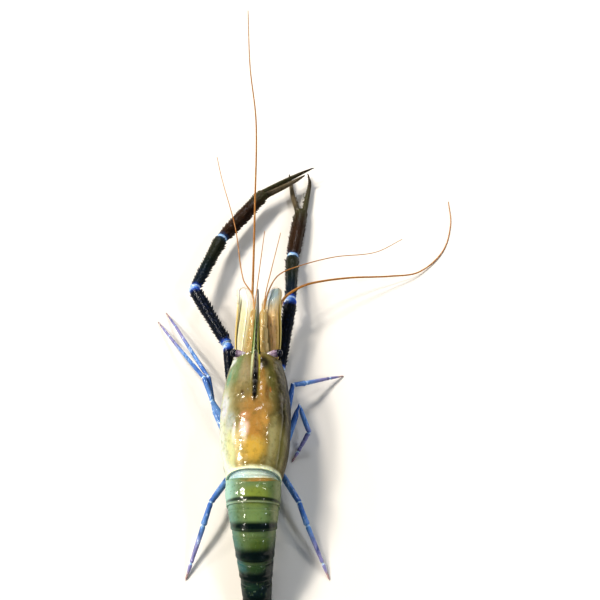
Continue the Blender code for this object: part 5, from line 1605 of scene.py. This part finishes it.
def spines(net, low, high, rows, count_round, spacing, height, inner, span=(0.0, 1.0), start=0.08, stop=0.95):
    """Rows of forward-leaning spines, sized in mm; inner is the side with the larger ones."""
    way = (high - low).normalized()
    axes = axes_for(way)
    pitch = spacing * MM / (high - low).length
    made = 0
    for k in range(count_round):
        turn = 2 * math.pi * (k + 0.5) / count_round
        share = start + random.uniform(0, pitch)
        while share < stop:
            swing = turn + random.uniform(-0.16, 0.16)
            half_width, half_depth = row_at(rows, share)
            place = low.lerp(high, share) + on_ellipse(axes, half_width, half_depth, swing) * MM
            outward = on_ellipse(axes, 1 / half_width, 1 / half_depth, swing).normalized()
            size = height * random.uniform(0.55, 1.1) * (1 + 0.45 * max(0, outward.dot(inner)))
            lean = (outward + way * random.uniform(0.75, 1.1)).normalized()
            if (place + lean * (size * MM)).z > CLEAR_OF_FLOOR * MM:
                spot = (((swing + math.pi / 2) / math.pi) % 2 - 1, between(span, share))
                spike(net, place, lean, size, 0.4 * size, spot, 6, way * 0.15)
                made += 1
            share += pitch * random.uniform(0.8, 1.25)
    return made


print("spines that would end lower than this are left out, in mm:", CLEAR_OF_FLOOR)

# %% [markdown]
# ## Sizes and places of the great arms
# The second pair of legs are arms longer than the body. The left one reaches out and bends in to a
# shut claw; the right one lies nearly straight ahead, a little open.

# %% Tables of the great arms
ISCHIUM_ROWS = (  # share of the length, half width, half depth, as in the tables below
    (0, 3.1, 3.1), (0.12, 3.2, 3.1), (0.3, 3.1, 3), (0.7, 3.2, 3.1), (0.93, 3.4, 3.3), (1, 3, 2.9),
)
MERUS_ROWS = (
    (0, 3, 2.9), (0.08, 3.6, 3.5), (0.45, 3.9, 3.8), (0.9, 4.4, 4.2), (0.97, 4.2, 4.1), (1, 3.5, 3.4),
)
CARPUS_ROWS = (
    (0, 3.1, 3), (0.1, 3.7, 3.6), (0.5, 4.2, 4.1), (0.88, 5, 4.8), (0.97, 4.9, 4.7), (1, 4, 3.9),
)
PALM_ROWS = ((0, 3.8, 3.7), (0.1, 4.8, 4.6), (0.45, 5.6, 5.1), (0.85, 5.5, 4.9), (1, 5.2, 4.6))
FINGER_ROWS = ((0, 2.2, 2.8), (0.12, 2.25, 2.7), (0.45, 1.95, 2.2), (0.75, 1.45, 1.5), (0.95, 0.65, 0.7))
FIXED, MOVING = -1, 1
SHUT = ((0, 0), (0.12, 0.3), (0.45, 0.9), (0.75, 0.7), (0.95, 0.1))
FINGER_BOWS = {
    # how far each finger bows out from a straight line: the left claw is shut, the right one open
    ("left", FIXED): SHUT,
    ("left", MOVING): SHUT,
    ("right", FIXED): ((0, 0.1), (0.12, 0.7), (0.45, 2), (0.75, 2.8), (0.95, 0.9)),
    ("right", MOVING): ((0, 0.1), (0.12, 0.8), (0.45, 1.4), (0.75, 0.3), (0.95, 0)),
}
GREAT_CLAWS = {
    # the course of the first length; then its end, elbow, wrist, the palm's end and both fingertips
    "left": (
        ((-8, 8, 4.2), (-13.5, 12.5, 4.5), (-16.3, 25, 5.6), (-19, 44, 9.5)),
        ((-21.8, 66.8, 13), (-49.9, 114.5, 18), (-35.5, 172, 14), (-4.3, 229, 13), (40.6, 267, 13.5),
         (33.1, 257, 13)),
    ),
    "right": (
        ((8, 8, 4.2), (13.5, 12.5, 4.5), (15.2, 25, 5)),
        ((14, 48, 8), (21.5, 103.6, 18), (22.1, 156.5, 8), (29.1, 216, 4.15), (35.1, 271.5, 3.6),
         (17.9, 270.8, 3.4)),
    ),
}
reaches = [round(math.dist(places[0], places[4])) for _, places in GREAT_CLAWS.values()]
print("straight from the first length's end to the fixed fingertip, in mm:", reaches)

# %% [markdown]
# ## Fingers
# A claw's two fingers bow away from each other and hook at the tip. The one fixed to the palm is part
# of the palm's mesh. Two blunt teeth stand near the root of each cutting edge and small ones along
# the rest, and soft down covers the outside, thick on the moving finger.

# %% One finger
PALM_SHARE = 0.52  # the share of the palm's map before its finger starts
BIG_TEETH = (3, 5)
DOWN_HAIRS = {MOVING: 900, FIXED: 300}
down_net = Net()


def finger_on(net, palm_end, way, inward, tip, lean, side, tag):
    """A finger from the end of the palm, on one side of it, with its teeth, spines and down."""
    bows = FINGER_BOWS[tag, lean]
    span = (0.5, 1.0) if lean == FIXED else (0.0, 1.0)
    root = palm_end + inward * (lean * 2.4 * MM)
    course, reach = (tip - root).normalized(), (tip - root).length
    rings, along = [], []
    for step in range(81):
        share = -0.08 + 1.04 * step / 80
        held = max(share, 0)
        half_width, half_depth = row_at(FINGER_ROWS, held)
        knuckle = 0.5 * bump(share, 0.03, 0.03) if lean == MOVING else 0.3 * smooth(-share * 12)
        place = root + course * (reach * share) + inward * (lean * row_at(bows, held)[0] * MM)
        normal = tilt_between(course, way, course, held, 0.1)
        rings.append(ring_round(place, normal, half_width + knuckle, half_depth + knuckle, 32))
        along.append(between(span, held))
    net.skin(rings, along=along, end=tip + course * 0.6 * MM - inward * (lean * 0.9 * MM))
    for k in range(16):
        share = 0.1 + 0.8 * k / 15
        half_width, bow = row_at(FINGER_ROWS, share)[0], row_at(bows, share)[0]
        place = root + course * (reach * share) + inward * (lean * (bow - half_width) * MM)
        if k in BIG_TEETH:
            spike(net, place, -inward * lean, 1.5, 1.1, (0.0, 0.6), 10)
        else:
            spike(net, place, -inward * lean + course * 0.3, 0.6, 0.45, (0.0, 0.6), 6)
    made = spines(net, root, tip, FINGER_ROWS, 6, 3.6, 0.8, inward * lean, span, 0.1, 0.5)
    axes = axes_for(course)
    for k in range(DOWN_HAIRS[lean]):
        share, swing = random.uniform(0.02, 0.9), random.uniform(0, 2 * math.pi)
        offset = on_ellipse(axes, *row_at(FINGER_ROWS, share), swing)
        place = root + course * (reach * share) + inward * (lean * row_at(bows, share)[0] * MM)
        way_out = offset.normalized() + course * random.uniform(0.9, 1.6)
        spot = (math.cos(swing) * 0.5 + 0.5 * side, share)
        hair(down_net, place + offset * (0.95 * MM), way_out, random.uniform(0.7, 1.3), 0.06, spot)
    return made


print("hairs of down on a claw:", sum(DOWN_HAIRS.values()))

# %% [markdown]
# ## Building the great arms
# The first length follows a curve out from under the shield. Then come the upper arm, the long
# forearm, and the palm with its fingers. Each joint's plane lies midway between its two lengths.

# %% Great arms
SPINE_HEIGHT = 1.6
ARM_STEPS = 70
UPPER_ARM = ((0, "merus", MERUS_ROWS, arm_blue), (1, "carpus", CARPUS_ROWS, arm_teal))
for side, tag in SIDES:
    path, joint_places = GREAT_CLAWS[tag]
    arm = course_of(joint_places)
    middle = curve_through(course_of(path) + [arm[0]], ARM_STEPS + 1)
    ways = ways_along([middle[-8], *arm[:4]])
    planes = [(a + b).normalized() for a, b in zip(ways, ways[1:])]
    net = Net()
    rings = []
    for index, place in enumerate(middle):
        share = index / ARM_STEPS
        half_width, half_depth = row_at(ISCHIUM_ROWS, share)
        seam = 0.35 * (bump(share, 0.13, 0.012) + bump(share, 0.985, 0.012)) - 0.5 * bump(share, 0.16, 0.012)
        normal = planes[0] if index == ARM_STEPS else way_at(middle, index)
        rings.append(ring_round(place, normal, half_width + seam, half_depth + seam, 32))
    net.skin(rings)
    inward = Vector((-side, 0, 0.3)).normalized()
    made = spines(net, middle[40], middle[ARM_STEPS], ISCHIUM_ROWS, 9, 3.4, 0.9, inward, (0.55, 1.0), 0.05)
    build(net, f"great_claw_ischium_{tag}", [arm_blue, joint_skin])
    for index, part, rows, finish in UPPER_ARM:
        low, high, way = arm[index], arm[index + 1], ways[index + 1]
        inward = way.cross(UP).normalized() * -side
        net = Net()
        segment(net, low - way * 0.4 * MM, high, planes[index : index + 2], rows, 40, 110)
        made += spines(net, low, high, rows, 10, 2.9, SPINE_HEIGHT, inward)
        build(net, f"great_claw_{part}_{tag}", [finish, joint_skin])
    wrist, palm_end, fixed_tip, moving_tip = arm[2:]
    way = ways[3]
    inward = way.cross(UP).normalized() * -side
    palm, finger, span = Net(), Net(), (0.0, PALM_SHARE)
    segment(palm, wrist - way * 0.4 * MM, palm_end, (planes[2], way), PALM_ROWS, 40, 110, span, rim=0.25)
    made += spines(palm, wrist, palm_end, PALM_ROWS, 11, 2.9, SPINE_HEIGHT, inward, span)
    for net, tip, lean in ((palm, fixed_tip, FIXED), (finger, moving_tip, MOVING)):
        made += finger_on(net, palm_end, way, inward, tip, lean, side, tag)
    build(palm, f"great_claw_palm_{tag}", [palm_brown, joint_skin])
    build(finger, f"great_claw_finger_{tag}", [finger_grey])
    print(tag, "arm spines:", made)
build(down_net, "finger_down", [velvet], bristles=True)

# %% [markdown]
# ## Thin legs in few pieces
# Thin legs are made like the arms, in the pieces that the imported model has, and their last joints
# carry short bristles. A function that is handed in adds the end of a leg, a claw or a pincer.

# %% Legs and tufts
def tufts(net, low, high, girth, count, length, span):
    """Short bristles, sized in mm, round a thin limb, leaning to its tip."""
    way = (high - low).normalized()
    axes = axes_for(way)
    for _ in range(count):
        share, swing = random.random(), random.uniform(0, 2 * math.pi)
        out = on_ellipse(axes, 1, 1, swing)
        place = low.lerp(high, share) + out * (girth * 0.9 * MM)
        if place.z > 0.4 * MM:
            spot = (math.cos(swing) * 0.9, between(span, share))
            hair(net, place, out * 0.6 + way, length * random.uniform(0.7, 1.2), 0.04, spot)


def leg_pieces(places, tables, names, groups, finish, closing=None):
    """A jointed leg in a few pieces; closing is added to the last one before it is built."""
    lengths = [(b - a).length for a, b in zip(places, places[1:])]
    total, start, passed = sum(lengths), 0, 0.0
    ways = ways_along(places)
    planes = [ways[0]] + [(a + b).normalized() for a, b in zip(ways, ways[1:])] + [ways[-1]]
    for name, count in zip(names, groups):
        net = Net()
        for index in range(start, start + count):
            span = (passed / total, (passed + lengths[index]) / total)
            sleeve = 1.1 * MM / lengths[index] if index else 0.0
            low = places[index] - ways[index] * 0.15 * MM
            normals = planes[index : index + 2]
            segment(net, low, places[index + 1], normals, tables[index], 20, 34, span, 0.16, sleeve)
            passed += lengths[index]
        start += count
        if start == len(ways) and closing:
            closing(net)
        build(net, name, [finish, joint_skin])


leg_hairs = Net()
print("bristles on the legs so far:", len(leg_hairs.faces) // 4)

# %% [markdown]
# ## Walking legs
# Three pairs of thin legs walk on one claw each. They are listed by their number, as pairs of legs
# are counted from the front.

# %% Walking legs
LEG_ROWS = (
    ((0, 2, 2), (0.1, 2.2, 2.2), (0.5, 2, 2), (1, 1.8, 1.8)),
    ((0, 1.6, 1.6), (0.15, 1.9, 1.95), (0.8, 1.8, 1.8), (1, 1.5, 1.5)),
    ((0, 1.35, 1.35), (0.5, 1.55, 1.55), (0.9, 1.7, 1.7), (1, 1.4, 1.4)),
    ((0, 1.25, 1.25), (0.2, 1.4, 1.4), (0.9, 1.05, 1.05), (1, 0.88, 0.88)),
    ((0, 0.8, 0.8), (0.4, 0.88, 0.88), (1, 0.3, 0.3)),
)
WALKING_LEGS = {
    (3, "left"): (
        (-7.8, -2, 4), (-16, 4, 5), (-28.9, 22, 12.5), (-35.2, 38.7, 14.5), (-65, 80.6, 4.5), (-76.9, 97.8, 0.3)),
    (4, "left"): (
        (-7.8, -11, 4), (-16, -6, 4.8), (-27.8, 17.7, 7.5), (-33, 41.1, 12), (-62, 90.2, 4), (-72.3, 106.5, 0.3)),
    (5, "left"): (
        (-7.8, -20, 4), (-15.5, -24, 5), (-25, -44, 13), (-29, -56, 10), (-36, -74, 3), (-39, -82, 0.3)),
    (3, "right"): ((7.8, -2, 4), (16, 2, 5), (22.8, 33, 15.5), (31.2, 36, 13), (47.4, 45, 5), (57.5, 50, 0.3)),
    (4, "right"): (
        (7.8, -11, 4), (17, -7, 5), (26.6, 16.1, 18), (32.4, 2.8, 8.5), (25.6, -6.9, 2.2), (21.5, -13.4, 0.3)),
    (5, "right"): ((7.8, -20, 4), (15.5, -24, 5), (25, -44, 13), (29, -56, 10), (36, -74, 3), (39, -82, 0.3)),
}
for (number, tag), knots in WALKING_LEGS.items():
    places = course_of(knots)
    way = (places[5] - places[4]).normalized()

    def claw(net, place=places[5], way=way):
        spike(net, place - way * 0.8 * MM, way, 1.8, 0.26, (0, 1.0), 8)

    names = [f"leg_{number}_upper_{tag}", f"leg_{number}_lower_{tag}"]
    leg_pieces(places, LEG_ROWS, names, (2, 3), leg_shell, claw)
    tufts(leg_hairs, places[3].lerp(places[4], 0.35), places[4], 0.85, 130, 1.3, (0.6, 0.9))
    tufts(leg_hairs, places[4], places[4].lerp(places[5], 0.85), 0.55, 70, 0.9, (0.9, 1.0))

# %% [markdown]
# ## The first pair of legs and the jaw legs
# The first pair, folded under the head, ends in a small pincer that cleans and feeds. Between them
# lie the last jaw legs, which are thick with bristles.

# %% First legs and jaw legs
PINCER_KNOTS = ((6.8, 20, 3.4), (9, 27, 3.2), (7.7, 47, 2.8), (10.5, 76, 3.6), (8.6, 86, 3.2))
PINCER_ROWS = (
    ((0, 1.5, 1.5), (0.5, 1.6, 1.6), (1, 1.3, 1.3)),
    ((0, 1.2, 1.2), (0.2, 1.5, 1.5), (0.85, 1.35, 1.35), (1, 1.1, 1.1)),
    ((0, 1, 1), (0.2, 1.05, 1.05), (0.9, 1.4, 1.4), (1, 1.1, 1.1)),
    ((0, 1, 1), (0.3, 1.7, 1.6), (0.8, 1.7, 1.6), (1, 1.4, 1.3)),
)
JAW_KNOTS = ((3.4, 25, 5.4), (4.4, 50, 6.4), (4.6, 66, 9), (3.4, 77, 11.5))
JAW_ROWS = (
    ((0, 1.9, 2.1), (0.5, 2.1, 2.4), (0.9, 1.8, 2), (1, 1.5, 1.6)),
    ((0, 1.3, 1.5), (0.5, 1.6, 1.8), (1, 1.2, 1.3)),
    ((0, 1, 1.1), (0.4, 1.2, 1.3), (1, 0.35, 0.35)),
)
JAW_HAIRS = (130, 200, 220)
for side, tag in SIDES:
    places = course_of(PINCER_KNOTS, side)
    way = (places[4] - places[3]).normalized()

    def pincer(net, place=places[4], way=way):
        beside = way.cross(UP).normalized()
        for lean in (-1, 1):
            foot = place - way * MM + beside * (lean * 0.75 * MM)
            knots = [foot, foot + way * 5 * MM + beside * (lean * 0.5 * MM), foot + way * 9.2 * MM]
            course = curve_through(knots, 24)
            girths = [0.75 - 0.5 * k / 23 for k in range(24)]
            rings = [ring_round(spot, way, girth, girth * 1.15, 14) for spot, girth in zip(course, girths)]
            net.skin(rings, end=course[-1] + way * 0.5 * MM)

    leg_pieces(places, PINCER_ROWS, [f"leg_1_upper_{tag}", f"leg_1_pincer_{tag}"], (2, 2), leg_shell, pincer)
    tufts(leg_hairs, places[3], places[4] + way * 8 * MM, 1.2, 200, 1.4, (0.85, 1.0))
    places = course_of(JAW_KNOTS, side)
    leg_pieces(places, JAW_ROWS, ["maxilliped_" + tag], (3,), jaw_shell)
    for low, high, count in zip(places, places[1:], JAW_HAIRS):
        tufts(leg_hairs, low, high, 1.5, count, 2.4, (0.0, 1.0))
build(leg_hairs, "leg_bristles", [bristle], bristles=True)

# %% [markdown]
# ## The floor
# The prawn lies on a pale, plain floor with a broad, faint grain. It is stage, not part of the prawn,
# and lies a tenth of a millimetre below it, so that the two never share a face.

# %% Floor
FLOOR_SIZE, FLOOR_GRAIN, FLOOR_DROP = 6, 30, 0.1  # metres, mm and mm
floor_paint, tree, shader = new_material("matt pale floor")
grain = add_node(tree, CLOUD, inputs={"Scale": 1 / MM / FLOOR_GRAIN, "Detail": 6})
inputs = {FACTOR: grain.outputs[0], UNDER: linear("#E0DCD4"), OVER: linear("#EAE7E1")}
tree.links.new(add_node(tree, "Mix", BLEND, inputs).outputs[MIXED], shader.inputs["Base Color"])
shader.inputs["Roughness"].default_value = 0.7
bpy.ops.mesh.primitive_plane_add(size=FLOOR_SIZE, location=(0, 0, -FLOOR_DROP * MM))
ground = bpy.context.object
ground.name = "floor"
ground.data.materials.append(floor_paint)
ground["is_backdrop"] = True
print("floor across, in metres:", FLOOR_SIZE)

# %% [markdown]
# ## Light
# Lamps could be large panels close by, but a far one lights the floor evenly and leaves a small crisp
# glint in the film of water. Four stand on the left for arms, carapace and tail, a small one on the
# right, and two weaker ones open the shadows. The sky is dim, because a bright one would lie as grey
# on the black arms; straight from the camera it looks pale, as a studio wall would.

# %% Lamps and sky
SKY_LIGHT, SKY_SEEN = 0.16, 0.85
LAMPS = (  # name, where it stands, width in degrees, strength, colour
    ("key", (-0.54, 0.47, 0.86), 11, 1.75, "#FFF6EA"),
    ("low key", (-0.86, 0.4, 0.56), 7, 0.55, "#FFF8EE"),
    ("tail key", (-0.7, -0.04, 0.79), 9, 1.4, "#FFF9F0"),
    ("rear key", (-0.62, -0.44, 0.62), 8, 0.5, "#FFF9F0"),
    ("right key", (0.52, 0.48, 0.7), 6, 0.32, "#FFFAF0"),
    ("fill", (0.8, -0.5, 0.8), 9, 0.6, "#E8F0FF"),
    ("front fill", (0.1, 1.3, 1.0), 14, 0.6, "#F0F4FF"),
)
world = bpy.data.worlds.new("studio")
scene.world = world
world.use_nodes = True
sky = world.node_tree.nodes["Background"]
sky.inputs["Color"].default_value = linear("#DCE6F0")
seen = add_node(world.node_tree, "LightPath").outputs["Is Camera Ray"]
spread = add_node(world.node_tree, "MapRange", inputs={"Value": seen, "To Min": SKY_LIGHT, "To Max": SKY_SEEN})
world.node_tree.links.new(spread.outputs[0], sky.inputs["Strength"])
for name, place, width, strength, code in LAMPS:
    data = bpy.data.lights.new(name, "SUN")
    data.angle, data.energy, data.color = math.radians(width), strength, linear(code)[:3]
    light = bpy.data.objects.new(name, data)
    light.location = place
    light.rotation_euler = (-Vector(place)).to_track_quat("-Z", "Y").to_euler()
    scene.collection.objects.link(light)
print("lamps:", len(LAMPS), "with a strength of", round(sum(lamp[3] for lamp in LAMPS), 2), "in all")

# %% [markdown]
# ## Camera
# It looks down at 49 degrees from behind the tail, close enough for the head to seem to reach away.
# The plain view transform with a little more contrast keeps the blacks of the shell black.

# %% Camera
LOOKS_DOWN = 49  # degrees
LENS, SENSOR = 36.1, 36.0  # mm
lens = bpy.data.cameras.new("camera")
lens.lens, lens.sensor_width, lens.sensor_fit, lens.clip_start = LENS, SENSOR, "HORIZONTAL", 0.01
camera = bpy.data.objects.new("camera", lens)
camera.location = (0.026, -0.182, 0.347)
camera.rotation_euler = (math.radians(90 - LOOKS_DOWN), 0, 0)
scene.collection.objects.link(camera)
scene.camera = camera
scene.view_settings.view_transform = "Standard"
scene.view_settings.look = "Medium High Contrast"
print("view across, in degrees:", round(math.degrees(2 * math.atan(SENSOR / 2 / LENS)), 1))

# %% [markdown]
# ## Measure
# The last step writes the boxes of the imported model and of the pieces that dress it, which should
# differ by no more than fringes and spines.

# %% Measure and finish
low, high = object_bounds()
grown = [round((a - b) / MM, 1) for a, b in zip((*cad_low, *high), (*low, *cad_high))]
print("grown by, in mm, at the low and the high ends:", grown)
meshes = [o.data for o in bpy.data.objects if o.type == "MESH"]
print("triangles:", sum(len(p.vertices) - 2 for mesh in meshes for p in mesh.polygons))
